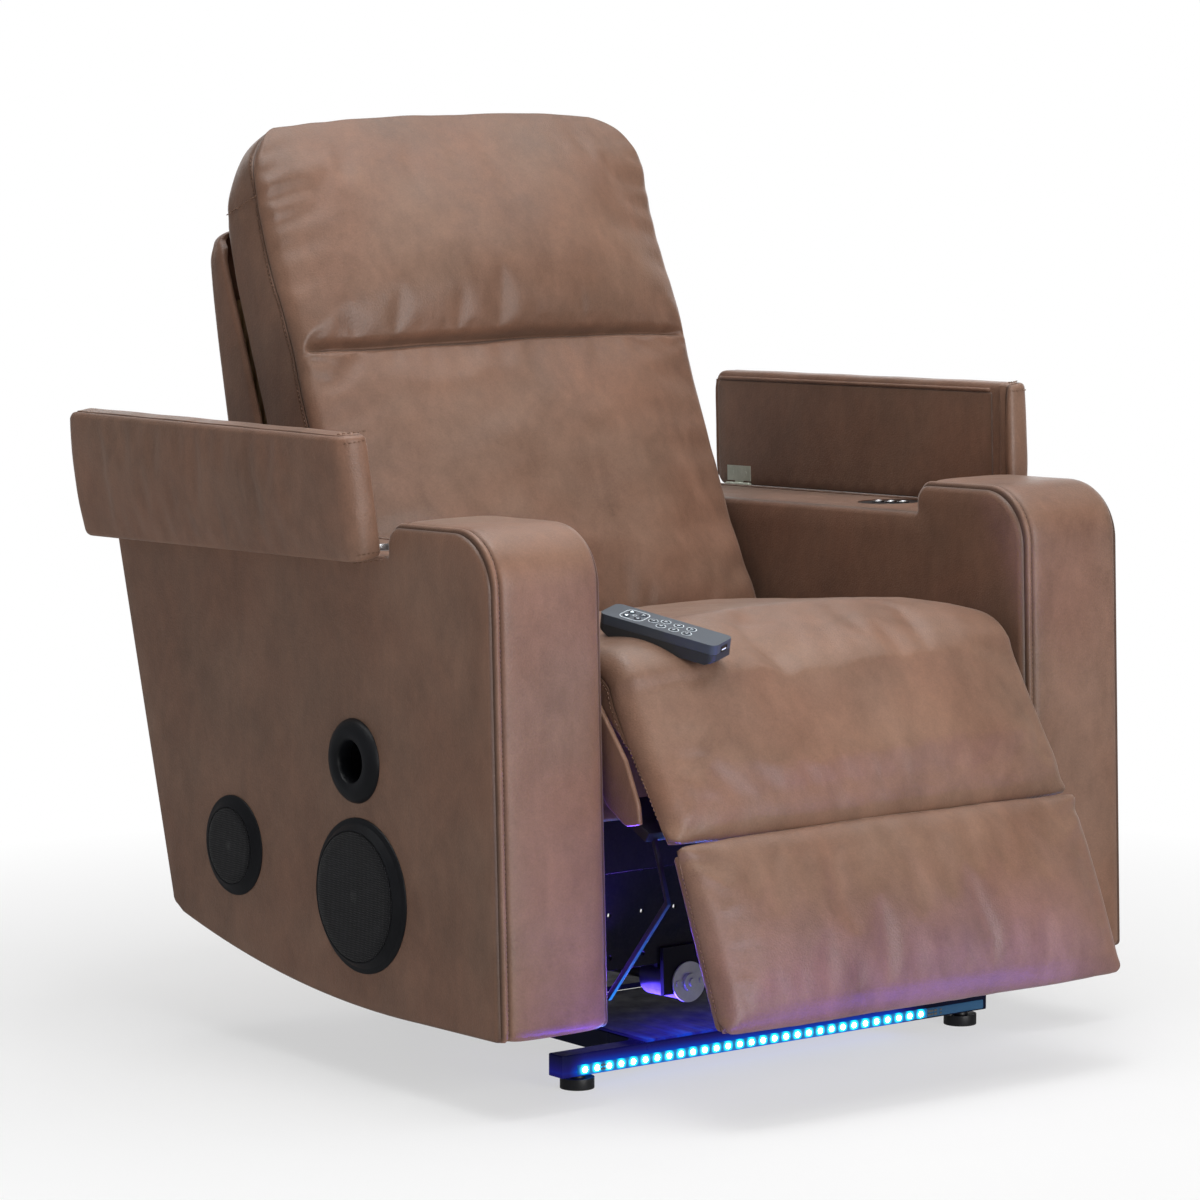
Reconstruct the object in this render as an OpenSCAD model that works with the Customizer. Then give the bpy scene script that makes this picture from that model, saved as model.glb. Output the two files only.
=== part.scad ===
// Power recliner with two lidded arms, speakers, light bar and handset.
// The body is modelled upright in its own frame and leaned back on its base.

/* [Overall] */
// Width over the two arms
chair_w = 900; // [880:1:920]
// Backward lean of the whole body on its base, in degrees
lean = 1.94; // [1:0.1:3]

/* [Arms] */
// Width of one arm
arm_w = 150; // [140:1:160]
// Distance from the body's zero line to the arm fronts
arm_front = 450; // [440:1:460]
// Height of the arm's lower edge
arm_bottom = 70; // [65:1:75]
// Height of the arm's front block
arm_top = 612; // [606:1:618]
// Height of the shelf under the lid
shelf_z = 576; // [572:1:580]
// Depth of the raised front block
block_len = 185; // [170:1:200]
// Radius of the front top edge
front_r = 63; // [50:1:75]
// Thickness of an upholstered arm panel
panel_t = 16; // [12:1:18]

/* [Lids] */
// Length of an arm lid
lid_len = 560; // [535:1:562]
// Width of an arm lid
lid_w = 139; // [130:1:141]
// Thickness of an arm lid
lid_t = 37; // [32:1:40]
// Opening angle of the lid on the sitter's right
lid_right_open = 97; // [85:1:100]
// Opening angle of the lid on the sitter's left
lid_left_open = 90; // [85:1:100]
// Length of a lid hinge
hinge_len = 46; // [40:1:50]

/* [Seat and footrest] */
// Width of the footrest and chaise pads
pad_w = 568; // [540:2:570]
// Width of the seat cushion
seat_w = 578; // [560:2:580]
// Radius of the roll over the seat's front edge
roll_r = 64; // [60:1:66]
// Thickness of the lower footrest pad
foot_pad_t = 16; // [14:1:38]
// Thickness of the footrest board
foot_board_t = 8; // [6:1:16]
// Length of the lower footrest pad
foot_pad_len = 208; // [190:1:212]

/* [Back] */
// Width of the back
back_w = 572; // [560:2:580]
// Corner radius at the top of the back
back_corner_r = 72; // [50:1:90]
// Height of the outside back panel's top edge
outside_top = 918; // [900:1:925]

/* [Speakers] */
// Outer diameter of the large speaker's ring
woofer_d = 172; // [160:1:176]
// Outer diameter of the small speaker's ring
mid_d = 114; // [108:1:118]
// Outer diameter of the bass port's ring
port_d = 94; // [88:1:98]
// Clear diameter of the bass port
port_hole_d = 46; // [40:1:48]

/* [Base] */
// Half length of the base's front and rear bars
bar_half = 308; // [300:1:312]
// Side of the square base tube
tube = 25; // [22:1:25]
// Height of a glide foot
glide_h = 15; // [12:1:18]
// Number of lights on the front bar
led_count = 30; // [10:1:30]
// Pitch of the lights
led_pitch = 16.67; // [15:0.01:17]

/* [Handset] */
// Length of the handset
hs_len = 145; // [140:1:150]
// Width of the handset
hs_w = 42; // [40:1:44]
// Thickness of the handset
hs_t = 24; // [22:1:26]
// Radius of a handset button
hs_btn_r = 4.2; // [3.8:0.1:4.3]

/* [Hidden] */
$fn = 48;

// Offset that puts the origin under the middle of the whole object's box
frame_x = 8.359;
frame_y = 133.149;

half_w = chair_w / 2;          // arm outer face
inner_x = half_w - arm_w;      // arm inner face
gap = 0.2;                     // air gap between neighbouring panels
run = 0.05;                    // radial running clearance of a pin
leather = [0.42, 0.32, 0.27];
wood = [0.72, 0.58, 0.40];
steel = [0.20, 0.20, 0.22];
plastic = [0.08, 0.09, 0.10];

// Hinge line of the arm lids
lid_ax = half_w - 0.5;
lid_az = shelf_z - 0.5;
hinge_y = [-192, 249];
// Roll and fold axes of the footrest
h1 = [-404, 409];
h2 = [-536, 271];
pad_a1 = 31.5;
pad_a2 = 20.8;
// Recline, headrest and body tilt axes
hb = [110, 300];
hh = [283, 872];
ht = [-66, 168];
pin_r = 8;
// Actuators
act_z = 74;
act_x = -80;
rec_z = 150;
rec_x = 80;
screw_r = 6;

module lean_frame() { translate([frame_x, frame_y, 0]) rotate([-lean, 0, 0]) children(); }
module floor_frame() { translate([frame_x, frame_y, 0]) children(); }
module yz(x0, x1) { translate([x0, 0, 0]) rotate([90, 0, 90]) linear_extrude(x1 - x0) children(); }
module both() { children(); mirror([1, 0, 0]) children(); }
module box2(a, b) { translate(a) cube(b - a); }
module xcyl(x0, x1, y, z, r) { translate([x0, y, z]) rotate([0, 90, 0]) cylinder(h = x1 - x0, r = r); }
module ycyl(x, y0, y1, z, r) { translate([x, y0, z]) rotate([-90, 0, 0]) cylinder(h = y1 - y0, r = r); }
function arc(c, r, a0, a1, n) = [for (i = [0:n]) let (a = a0 + (a1 - a0) * i / n) [c[0] + r * cos(a), c[1] + r * sin(a)]];
function lean_y(p) = p[0] * cos(lean) + p[1] * sin(lean);
function lean_z(p) = -p[0] * sin(lean) + p[1] * cos(lean);

// ---------- arms ----------
// Side outline of an arm, (y, z), from the front bottom corner clockwise
rear_low = [181, 145];
rear_high = [278, shelf_z];
belly_r = 1621;
belly_c = [-300, arm_bottom + 2 + belly_r];
belly_a = asin((rear_low[0] + 300) / belly_r);
step_y = block_len - arm_front;
function arm_outline() = concat(
  arc([-arm_front + 6, arm_bottom + 6], 6, 270, 180, 4),
  arc([-arm_front + front_r, arm_top - front_r], front_r, 180, 90, 12),
  arc([step_y - 18, arm_top - 18], 18, 90, 0, 6),
  arc([step_y + 2, shelf_z + 2], 2, 180, 270, 3),
  arc([rear_high[0] - 10, rear_high[1] - 10], 10, 90, 12, 5),
  arc([rear_low[0] - 13, rear_low[1] + 16], 14, 0, -72, 6),
  [for (i = [1:12]) let (a = belly_a * (12 - i) / 12) [belly_c[0] + belly_r * sin(a), belly_c[1] - belly_r * cos(a)]]);

// Front strip and raised block between the two arm panels
function cap_outline() = concat(
  arc([-arm_front + 6, arm_bottom + 6], 6, 270, 180, 4),
  arc([-arm_front + front_r, arm_top - front_r], front_r, 180, 90, 12),
  arc([step_y - 18, arm_top - 18], 18, 90, 0, 6),
  [[step_y, shelf_z - panel_t + 2], [-arm_front + 26, shelf_z - panel_t + 2], [-arm_front + 26, arm_bottom]]);

module hinge_clear(r) { for (y = hinge_y) translate([-lid_ax, y - hinge_len / 2 - 1, lid_az]) rotate([-90, 0, 0]) cylinder(h = hinge_len + 2, r = r); }
module hinge_leaf_slot() { for (y = hinge_y) box2([-lid_ax - 0.2, y - hinge_len / 2 - 1, lid_az - 32], [-lid_ax + 6.2, y + hinge_len / 2 + 1, lid_az]); }

module arm_side_panel(holes = true) {
  difference() {
    yz(-half_w, -half_w + panel_t) polygon(arm_outline());
    xcyl(-half_w - 1, -half_w + panel_t + 1, woofer_at[0], woofer_at[1], woofer_d / 2 - 10);
    xcyl(-half_w - 1, -half_w + panel_t + 1, mid_at[0], mid_at[1], mid_d / 2 - 8);
    xcyl(-half_w - 1, -half_w + panel_t + 1, port_at[0], port_at[1], port_d / 2 - 10);
    hinge_clear(4.4);
    hinge_leaf_slot();
  }
}

// Inner panel, sloping rear board and bottom board of one arm
module arm_carcass() {
  yz(-inner_x - panel_t, -inner_x) polygon(arm_outline());
  rear_dir = (rear_high - rear_low) / norm(rear_high - rear_low);
  rear_n = [rear_dir[1], -rear_dir[0]];
  yz(-half_w + panel_t + gap, -inner_x - panel_t - gap)
    polygon([rear_low + 22 * rear_dir - 1 * rear_n, rear_high - 12 * rear_dir - 1 * rear_n,
             rear_high - 12 * rear_dir - 15 * rear_n, rear_low + 22 * rear_dir - 15 * rear_n]);
  box2([-half_w + panel_t + gap, -arm_front + 27, 92], [-inner_x - panel_t - gap, -60, 104]);
}

module arm_front_cap() { yz(-half_w + panel_t + gap, -inner_x - panel_t - gap) polygon(cap_outline()); }

module arm_shelf_board() {
  difference() {
    box2([-half_w + panel_t + gap, step_y + gap, shelf_z - panel_t], [-inner_x - panel_t - gap, 258, shelf_z]);
    hinge_clear(4.4);
  }
}

// ---------- speakers ----------
woofer_at = [-201, 201];
mid_at = [50, 231];
port_at = [-195, 349];
module on_side(at) { translate([-half_w, at[0], at[1]]) rotate([0, -90, 0]) children(); }
// Conical bezel with a step that the cloth disc sits in
module ring(d, hole, inner, face, h) {
  rotate_extrude($fn = 96) polygon([[inner / 2, -10], [inner / 2, h - 4.2], [face / 2 + 0.3, h - 4.2], [face / 2 + 0.3, h - 0.6], [face / 2 + 2, h], [d / 2 - 6, 3.6], [d / 2 - 1, 2.8], [d / 2, 1.8], [d / 2, 0.3], [hole / 2 - 0.3, 0.3], [hole / 2 - 0.3, -10]]);
}
module port_ring(d, hole, inner) {
  rotate_extrude($fn = 96) polygon([[inner / 2, -10], [inner / 2, 5.8], [inner / 2 + 1.5, 8.6], [inner / 2 + 5, 10], [inner / 2 + 10, 10.3], [d / 2 - 8, 9], [d / 2 - 3.5, 6.5], [d / 2 - 0.7, 3], [d / 2, 0.3], [hole / 2 - 0.3, 0.3], [hole / 2 - 0.3, -10]]);
}
module grille(d, h) { rotate_extrude($fn = 72) polygon([[0, h - 4.1], [d / 2, h - 4.1], [d / 2, h - 0.4], [d / 2 - 2, h + 0.7], [d / 4, h + 1.2], [0, h + 1.3]]); }
module driver(d) { rotate_extrude($fn = 72) polygon([[0, -78], [d * 0.26, -78], [d * 0.26, -52], [d / 2 - 5, -20], [d / 2 - 1, -20], [d / 2 - 1, -16], [d * 0.42, -16], [d * 0.15, -38], [0, -38]]); }
woofer_in = woofer_d - 40;
mid_in = mid_d - 36;
woofer_face = woofer_d - 29;
mid_face = mid_d - 28;
module speaker_rings() { color(plastic) lean_frame() both() {
  on_side(woofer_at) ring(woofer_d, woofer_d - 20, woofer_in, woofer_face, 11);
  on_side(mid_at) ring(mid_d, mid_d - 16, mid_in, mid_face, 8.5);
  on_side(port_at) port_ring(port_d, port_d - 20, port_hole_d);
} }
module speaker_grilles() { color([0.12, 0.13, 0.15]) lean_frame() both() {
  on_side(woofer_at) grille(woofer_face, 11);
  on_side(mid_at) grille(mid_face, 8.5);
} }
module speaker_drivers() { color([0.15, 0.15, 0.15]) lean_frame() both() {
  on_side(woofer_at) driver(woofer_in);
  on_side(mid_at) driver(mid_in);
} }
module bass_ports() { color(plastic) lean_frame() both() on_side(port_at)
  difference() {
    translate([0, 0, -96]) cylinder(h = 85, r = port_hole_d / 2 + 3.5);
    translate([0, 0, -97]) cylinder(h = 87, r = port_hole_d / 2);
  }
}

// ---------- shelves: cup holder and control panel ----------
cup_at = [-375, -160];
cup_r = 40;
ctl_at = [391, -114];
ctl_r = 40;
ctl_dir = [0.37, -0.93];
ctl_pitch = 16.5;
btn_r = 5.3;
module arm_right_shelf() { color(leather) lean_frame() difference() {
  arm_shelf_board();
  translate([cup_at[0], cup_at[1], shelf_z - panel_t - 1]) cylinder(h = panel_t + 2, r = cup_r + 3.3, $fn = 72);
  translate([cup_at[0], cup_at[1], shelf_z - 2.2]) cylinder(h = 3, r = cup_r + 8.4, $fn = 72);
} }
module arm_left_shelf() { color(leather) lean_frame() difference() {
  mirror([1, 0, 0]) arm_shelf_board();
  translate([ctl_at[0], ctl_at[1], shelf_z - 9.2]) cylinder(h = 10, r = ctl_r + 0.3, $fn = 72);
} }
module cup_holder() { color([0.6, 0.6, 0.62]) lean_frame() translate([cup_at[0], cup_at[1], 0])
  rotate_extrude($fn = 72) polygon([[0, shelf_z - 66], [cup_r + 2, shelf_z - 66], [cup_r + 2.5, shelf_z - 2], [cup_r + 8, shelf_z - 2], [cup_r + 8, shelf_z], [cup_r, shelf_z], [cup_r - 0.5, shelf_z - 64], [0, shelf_z - 64]]);
}
function ctl_pos(i) = [ctl_at[0] + ctl_dir[0] * ctl_pitch * (i - 1), ctl_at[1] + ctl_dir[1] * ctl_pitch * (i - 1)];
module control_panel() { color(plastic) lean_frame() difference() {
  union() {
    translate([ctl_at[0], ctl_at[1], shelf_z - 9]) cylinder(h = 7.4, r = ctl_r, $fn = 72);
    for (i = [0:2]) translate([ctl_pos(i)[0], ctl_pos(i)[1], shelf_z - 4]) cylinder(h = 4, r = btn_r + 2, $fn = 48);
  }
  for (i = [0:2]) translate([ctl_pos(i)[0], ctl_pos(i)[1], shelf_z - 7.5]) cylinder(h = 12, r = btn_r + run, $fn = 48);
} }
module panel_button(i) { color([0.75, 0.76, 0.78]) lean_frame() translate([ctl_pos(i)[0], ctl_pos(i)[1], shelf_z - 5.8]) cylinder(h = 5.9, r = btn_r, $fn = 48); }

// ---------- lids ----------
module lid_pose(open) { translate([-lid_ax, 0, lid_az]) rotate([0, -open, 0]) translate([lid_ax, 0, -lid_az]) children(); }
lid_z0 = shelf_z + 0.5;
lid_x0 = -half_w + 1;
lid_y0 = step_y + 3;
lid_y1 = step_y + 3 + lid_len;
board_t = 12;
module lid_board() {
  difference() {
    box2([lid_x0 + 2, lid_y0 + 25, lid_z0], [lid_x0 + lid_w - 2, lid_y1 - 5, lid_z0 + board_t]);
    hinge_clear(5.4);
    for (y = hinge_y) box2([-half_w - 1, y - hinge_len / 2 - 0.3, lid_z0 - 1], [-lid_ax + 24.4, y + hinge_len / 2 + 0.3, lid_z0 + 1.9]);
  }
}
module lid_pad() {
  difference() {
    yz(lid_x0, lid_x0 + lid_w) polygon(concat(
      [[lid_y0, lid_z0]],
      arc([lid_y0 + 8, lid_z0 + lid_t - 8], 8, 180, 90, 4),
      arc([lid_y1 - 8, lid_z0 + lid_t - 8], 8, 90, 0, 4),
      [[lid_y1, lid_z0], [lid_y1 - 4, lid_z0], [lid_y1 - 4, lid_z0 + board_t + 0.3], [lid_y0 + 12, lid_z0 + board_t + 0.3], [lid_y0 + 12, lid_z0]]));
    hinge_clear(5.4);
  }
}
// Leaf on the lid: plate, middle knuckle and two screw heads to a hinge
module lid_leaf() {
  for (y = hinge_y) {
    difference() {
      union() {
        box2([-lid_ax + 1.5, y - hinge_len / 2, lid_z0 + 0.1], [-lid_ax + 24, y + hinge_len / 2, lid_z0 + 1.7]);
        ycyl(-lid_ax, y - 7.8, y + 7.8, lid_az, 3.2);
      }
      ycyl(-lid_ax, y - 30, y + 30, lid_az, 1.5 + run);
      for (s = [-1, 1]) box2([-lid_ax - 4, s > 0 ? y + 7.8 : y - 30, lid_az - 4], [-lid_ax + 5, s > 0 ? y + 30 : y - 7.8, lid_az + 4]);
    }
    for (s = [-1, 1]) translate([-lid_ax + 14, y + s * 13, lid_z0 - 0.2]) cylinder(h = 0.4, r = 3.2, $fn = 24);
  }
}
// Fixed leaf in the arm with its two outer knuckles and the pin
module lid_hinge_base() {
  for (y = hinge_y) {
    ycyl(-lid_ax, y - hinge_len / 2, y - 8, lid_az, 3.2);
    ycyl(-lid_ax, y + 8, y + hinge_len / 2, lid_az, 3.2);
    ycyl(-lid_ax, y - hinge_len / 2, y + hinge_len / 2, lid_az, 1.5);
    for (s = [-1, 1]) box2([-lid_ax + 0.4, s > 0 ? y + 8 : y - hinge_len / 2, lid_az - 30], [-lid_ax + 2, s > 0 ? y + hinge_len / 2 : y - 8, lid_az]);
    box2([-lid_ax + 0.4, y - hinge_len / 2, lid_az - 30], [-lid_ax + 2, y + hinge_len / 2, lid_az - 6]);
  }
}

// ---------- footrest ----------
// Local frames: origin on the fold axis, first coordinate along the pad, second out of its face
u1 = [sin(pad_a1), cos(pad_a1)];
n1 = [-cos(pad_a1), sin(pad_a1)];
v2 = [-sin(pad_a2), -cos(pad_a2)];
n2 = [-cos(pad_a2), sin(pad_a2)];
function on1(u, n) = h2 + u * u1 + n * n1;
function on2(v, n) = h2 + v * v2 + n * n2;
module chaise_pad() { color(leather) lean_frame() yz(-pad_w / 2, pad_w / 2) hull() {
  translate(h1) circle(r = roll_r, $fn = 64);
  polygon([on1(0.8, 20), on1(14, 23.5), on1(14, -4), on1(6, -4)]);
} }
module footrest_arms() { color(steel) lean_frame() {
  both() difference() {
    union() {
      xcyl(286, 291, h1[0], h1[1], 20);
      yz(286, 291) polygon([h1 + [-19, 3], h1 + [17, -10], on1(84, -64), on1(52, -47), on1(44, -28)]);
    }
    xcyl(285, 292, h1[0], h1[1], pin_r + run);
  }
  // crosswise support board behind the pad
  yz(-285.8, 285.8) polygon([on1(28, -22), on1(84, -56), on1(79, -67), on1(23, -33)]);
  // lower links that run back under the seat
  both() yz(271, 276) polygon([[-519.5, 207.5], [-514.5, 211], [-406.5, 94], [-411.5, 90.5]]);
  both() yz(271, 276) polygon([[-514.5, 211], [-519.5, 207.5], on1(28, -29), on1(34, -33)]);
} }
module footrest_pad() { color(leather) lean_frame() yz(-pad_w / 2, pad_w / 2)
  polygon(concat([on2(0.8, 22), on2(0.8, -foot_pad_t + 27), on2(6, -foot_pad_t + 24)],
    [on2(foot_pad_len - 8, -foot_pad_t + 24), on2(foot_pad_len - 2, -foot_pad_t + 26), on2(foot_pad_len - 0.5, -foot_pad_t + 29), on2(foot_pad_len - 3, 17), on2(foot_pad_len - 12, 24), on2(14, 25)]));
}
module footrest_board() { color(wood) lean_frame() yz(-pad_w / 2 + 2, pad_w / 2 - 2)
  polygon([on2(10, -foot_pad_t + 23.5), on2(foot_pad_len - 6, -foot_pad_t + 23.5), on2(foot_pad_len - 8, -foot_pad_t + 23.5 - foot_board_t), on2(14, -foot_pad_t + 23.5 - foot_board_t)]);
}

// ---------- seat ----------
module seat_cushion() { color(leather) lean_frame() difference() {
  yz(-seat_w / 2, seat_w / 2) polygon([[-378, 402], [-378, 471.5], [-300, 470], [-150, 459], [-10, 448], [-28, 402]]);
  xcyl(-seat_w, seat_w, h1[0], h1[1], roll_r + 0.8);
} }
module seat_rails() { color(wood) lean_frame() {
  box2([-285, -388, 224], [285, -366, 292]);
  box2([-286, -330, 345], [286, -306, 394]);
  box2([-286, -50, 345], [286, -28, 394]);
  both() box2([262, -305.8, 345], [286, -50.2, 394]);
} }
// Sinuous springs: a flat wave of wire swept as one tube
wave_n = 12;
wave_x = 22;
function wave_pts(x0) = [for (i = [0:wave_n * 4]) let (t = i / 4, ph = t * 180) [x0 + wave_x * sin(ph), -318 + (280 * i) / (wave_n * 4), 397]];
module wire(pts, r, k) {
  n = len(pts);
  verts = [for (i = [0:n - 1])
    let (a = pts[max(i - 1, 0)], b = pts[min(i + 1, n - 1)], d = (b - a) / norm(b - a), s = [d[1], -d[0], 0])
    for (j = [0:k - 1]) pts[i] + r * cos(j * 360 / k) * s + [0, 0, r * sin(j * 360 / k)]];
  faces = concat([[for (j = [0:k - 1]) j]], [[for (j = [k - 1:-1:0]) (n - 1) * k + j]],
    [for (i = [0:n - 2]) for (j = [0:k - 1]) [i * k + j, (i + 1) * k + j, (i + 1) * k + (j + 1) % k, i * k + (j + 1) % k]]);
  polyhedron(points = verts, faces = faces, convexity = 4);
}
module seat_springs() { color([0.45, 0.45, 0.48]) lean_frame() for (x = [-180, -60, 60, 180]) wire(wave_pts(x), 1.8, 6); }

// ---------- mechanism ----------
module mechanism_frame() { color(steel) lean_frame() {
  both() {
    difference() {
      union() {
        yz(292, 298) polygon([[-426, 392], [-422, 432], [-386, 432], [-340, 398], [40, 398], [128, 338], [140, 290], [104, 112], [-330, 108], [-392, 222]]);
        xcyl(285, 298, h1[0], h1[1], pin_r);
        xcyl(268, 298, hb[0], hb[1], pin_r);
      }
      xcyl(291, 299, ht[0], ht[1], pin_r + run);
    }
  }
  difference() {
    box2([-291.6, -296, 98], [291.6, -292, 222]);
    for (x = [-230:46:230]) for (z = [112, 160, 208]) ycyl(x, -297, -291, z, 2.6);
  }
} }
// Plate on the base carrying the tilt pin
module tilt_brackets() { color(steel) floor_frame() {
  c = [lean_y(ht), lean_z(ht)];
  // saddle plate across the two rails
  box2([-290, c[0] - 60, glide_h + tube + 0.1], [290, c[0] + 60, glide_h + tube + 6.1]);
  both() yz(284, 290) polygon(concat([[c[0] - 60, glide_h + tube + 6]], arc(c, 24, 160, 20, 12), [[c[0] + 60, glide_h + tube + 6]]));
  both() xcyl(290, 299, c[0], c[1], pin_r);
} }
module gear_motor(x, z, y0, len) {
  translate([x, y0, z]) rotate([-90, 0, 0]) {
    translate([0, 0, -3]) cylinder(h = 3, r = 23);
    translate([0, 0, -8]) cylinder(h = 6, r = 10);
    translate([0, 0, -11]) cylinder(h = 4, r = 5);
    for (a = [0, 180]) rotate(a) translate([16.5, 0, -5]) cylinder(h = 3, r = 3, $fn = 24);
    cylinder(h = 62, r = 21);
    translate([0, 0, 62]) cylinder(h = len, r = screw_r);
    translate([0, 0, 62 + len]) cylinder(h = 14, r = 14);
  }
  box2([x - 34, y0, z - 12], [x + 34, y0 + 5.8, z + 42]);
  box2([x - 16, y0 + 30, z + 24], [x - 10, y0 + 70 + len, z + 30]);
  box2([x + 10, y0 + 30, z + 24], [x + 16, y0 + 70 + len, z + 30]);
  for (y = [y0 + 34, y0 + 64 + len]) box2([x - 16, y, z + 5], [x + 16, y + 6, z + 30]);
}
module actuators() { color([0.6, 0.6, 0.62]) lean_frame() {
  gear_motor(act_x, act_z, -302, 208);
  gear_motor(rec_x, rec_z, -222, 150);
} }
module nut(x, z, y) { difference() {
  box2([x - 13, y - 14, z - 13], [x + 13, y + 14, z + 13]);
  ycyl(x, y - 15, y + 15, z, screw_r + run);
} }
foot_nut_y = -102;
rec_nut_y = -58;
module footrest_nut() { color([0.85, 0.85, 0.8]) lean_frame() nut(act_x, act_z, foot_nut_y); }
module recline_nut() { color([0.85, 0.85, 0.8]) lean_frame() nut(rec_x, rec_z, rec_nut_y); }
module electronics_boxes() { color(plastic) lean_frame() {
  difference() {
    union() { box2([60, 40, 118], [200, 117.6, 166]); box2([112, 117, 130], [148, 134.5, 154]); }
    box2([117, 122, 134], [143, 136, 150]);
  }
  box2([-210, 36, 118], [-90, 112, 150]);
} }
module rear_skirt() { color(leather) lean_frame() difference() {
  box2([-291, 118, 104], [291, 134, 262]);
  box2([111.5, 117, 129.5], [148.5, 135, 154.5]);
} }

// ---------- base ----------
bar_y = -368;
rear_bar_y = 130;
module base_frame() { color(steel) floor_frame() {
  box2([-bar_half, bar_y, glide_h], [bar_half, bar_y + tube, glide_h + tube]);
  box2([-190, rear_bar_y, glide_h], [190, rear_bar_y + tube, glide_h + tube]);
  both() box2([165, bar_y + tube - 1, glide_h], [190, rear_bar_y + 1, glide_h + tube]);
} }
module front_pan() { color(steel) floor_frame() box2([-190, bar_y + 2, glide_h + tube + 0.1], [190, bar_y + 234, glide_h + tube + 3.1]); }
module glide_feet() { color(plastic) floor_frame() for (q = [[-278, bar_y], [278, bar_y], [-150, rear_bar_y], [150, rear_bar_y]]) translate([q[0], q[1] + tube / 2, 0]) {
  cylinder(h = glide_h - 3, r = 19);
  cylinder(h = glide_h - 0.1, r = 9);
} }
led_x0 = -279;
module led_strip() { color([0.9, 0.95, 1]) floor_frame() {
  box2([led_x0 - 8, bar_y - 1.3, glide_h + 2.5], [300, bar_y - 0.1, glide_h + 12.5]);
  for (i = [0:led_count - 1]) box2([led_x0 + i * led_pitch - 2.5, bar_y - 2.9, glide_h + 5], [led_x0 + i * led_pitch + 2.5, bar_y - 1.2, glide_h + 10]);
} }

// ---------- back ----------
module back_window(top, r) {
  translate([0, 500, 0]) rotate([90, 0, 0]) linear_extrude(700)
    polygon(concat([[-back_w / 2, 200], [back_w / 2, 200]], arc([back_w / 2 - r, top - r], r, 0, 90, 10), arc([-back_w / 2 + r, top - r], r, 90, 180, 10)));
}
module back_cushion() { color(leather) lean_frame() yz(-back_w / 2, back_w / 2)
  polygon([[-18, 404], [2, 449], [33, 504], [70, 600], [112, 696], [142, 786], [160, 817], [172, 862], [262, 868], [248, 797], [218, 709], [178, 600], [141, 500], [102, 404]]);
}
module headrest_cushion() { color(leather) lean_frame() intersection() {
  yz(-back_w / 2, back_w / 2) polygon([[198, 926], [205, 944], [221, 987], [246, 1018], [264, 1036], [284, 1044], [290, 1030], [288, 980], [272, 886]]);
  back_window(1044, back_corner_r);
} }
// Back frame leans with the back; stiles, rails, hinge plates and top ears
bf0 = [125, 300];
bf1 = [290, 860];
bf_d = (bf1 - bf0) / norm(bf1 - bf0);
bf_n = [bf_d[1], -bf_d[0]];
function bf(s, n) = bf0 + s * bf_d + n * bf_n;
module bf_board(x0, x1, s0, s1) { yz(x0, x1) polygon([bf(s0, -11), bf(s1, -11), bf(s1, 11), bf(s0, 11)]); }
module back_frame() { color(wood) lean_frame() {
  both() bf_board(238, 269.6, 60, 560);
  bf_board(-237.8, 237.8, 90, 140);
  bf_board(-237.8, 237.8, 320, 370);
  bf_board(-237.8, 237.8, 510, 560);
  both() difference() {
    yz(270, 276) polygon(concat(arc(hb, 22, 200, 340, 8), [bf(120, 14), bf(170, 9), bf(170, -11), bf(60, -14)]));
    xcyl(269, 277, hb[0], hb[1], pin_r + run);
  }
  both() difference() {
    union() {
      xcyl(150, 158, hh[0], hh[1], 9);
      yz(150, 158) polygon([hh + [-9, 0], hh + [9, 0], bf(560.2, 11), bf(560.2, -8)]);
    }
    xcyl(149, 159, hh[0], hh[1], 4 + run);
  }
} }
module headrest_frame() { color(steel) lean_frame() {
  yz(-190, 190) polygon([[279, 892], [283, 892], [296, 1004], [292, 1004]]);
  both() {
    xcyl(140, 168, hh[0], hh[1], 4);
    for (x = [141, 160.2]) yz(x, x + 6.6) polygon([hh + [-7, 0], hh + [7, 0], [287, 912], [281, 912]]);
    for (x = [141, 160.2]) xcyl(x, x + 6.6, hh[0], hh[1], 7.2);
  }
} }
// Outside back: rear panel parallel to the arms' rear edges, with side returns
function ob_y(z) = lookup(z, [[250, 203], [430, 243], [572, 274], [640, 287.5], [702, 299.5], [781, 313.6], [830, 321], [850, 323.7]]);
module outside_back() { color(leather) lean_frame() intersection() {
  union() {
    yz(-back_w / 2 - 4, back_w / 2 + 4) polygon([[ob_y(250), 250], [ob_y(430), 430], [ob_y(572), 572], [ob_y(702), 702], [ob_y(781), 781], [ob_y(850), 850], [327.5, outside_top - 8], [324, outside_top], [315, outside_top], [314, 896], [ob_y(781) - 11, 781], [ob_y(702) - 12, 702], [ob_y(572) - 13, 572], [ob_y(430) - 14, 430], [ob_y(250) - 14, 250]]);
    both() yz(back_w / 2 - 9, back_w / 2 + 4) polygon([[ob_y(420) - 12, 420], [ob_y(572) - 11, 572], [ob_y(702) - 10, 702], [ob_y(781) - 9, 781], [ob_y(850) - 8, 850], [318, 905], [296, 905], [278, 856], [252, 790], [222, 705], [182, 596], [145, 496], [122, 440]]);
  }
  translate([0, 500, 0]) rotate([90, 0, 0]) linear_extrude(700)
    polygon(concat([[-290, 200], [290, 200]], arc([290 - 40, outside_top - 40], 40, 0, 90, 8), arc([-290 + 40, outside_top - 40], 40, 90, 180, 8)));
} }

// ---------- handset ----------
hs_at = [-200, -412, 509];
hs_rot = [11.4, -8.4, 22.2];
hs_split = -11;
module handset_frame() { translate([frame_x, frame_y, 0]) translate(hs_at) rotate(hs_rot) children(); }
module hs_plan(dx, dy, r) { hull() for (sx = [-1, 1]) for (sy = [-1, 1]) translate([sx * (hs_w / 2 - dx - r), sy * (hs_len / 2 - dy - r)]) circle(r = r, $fn = 24); }
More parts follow.
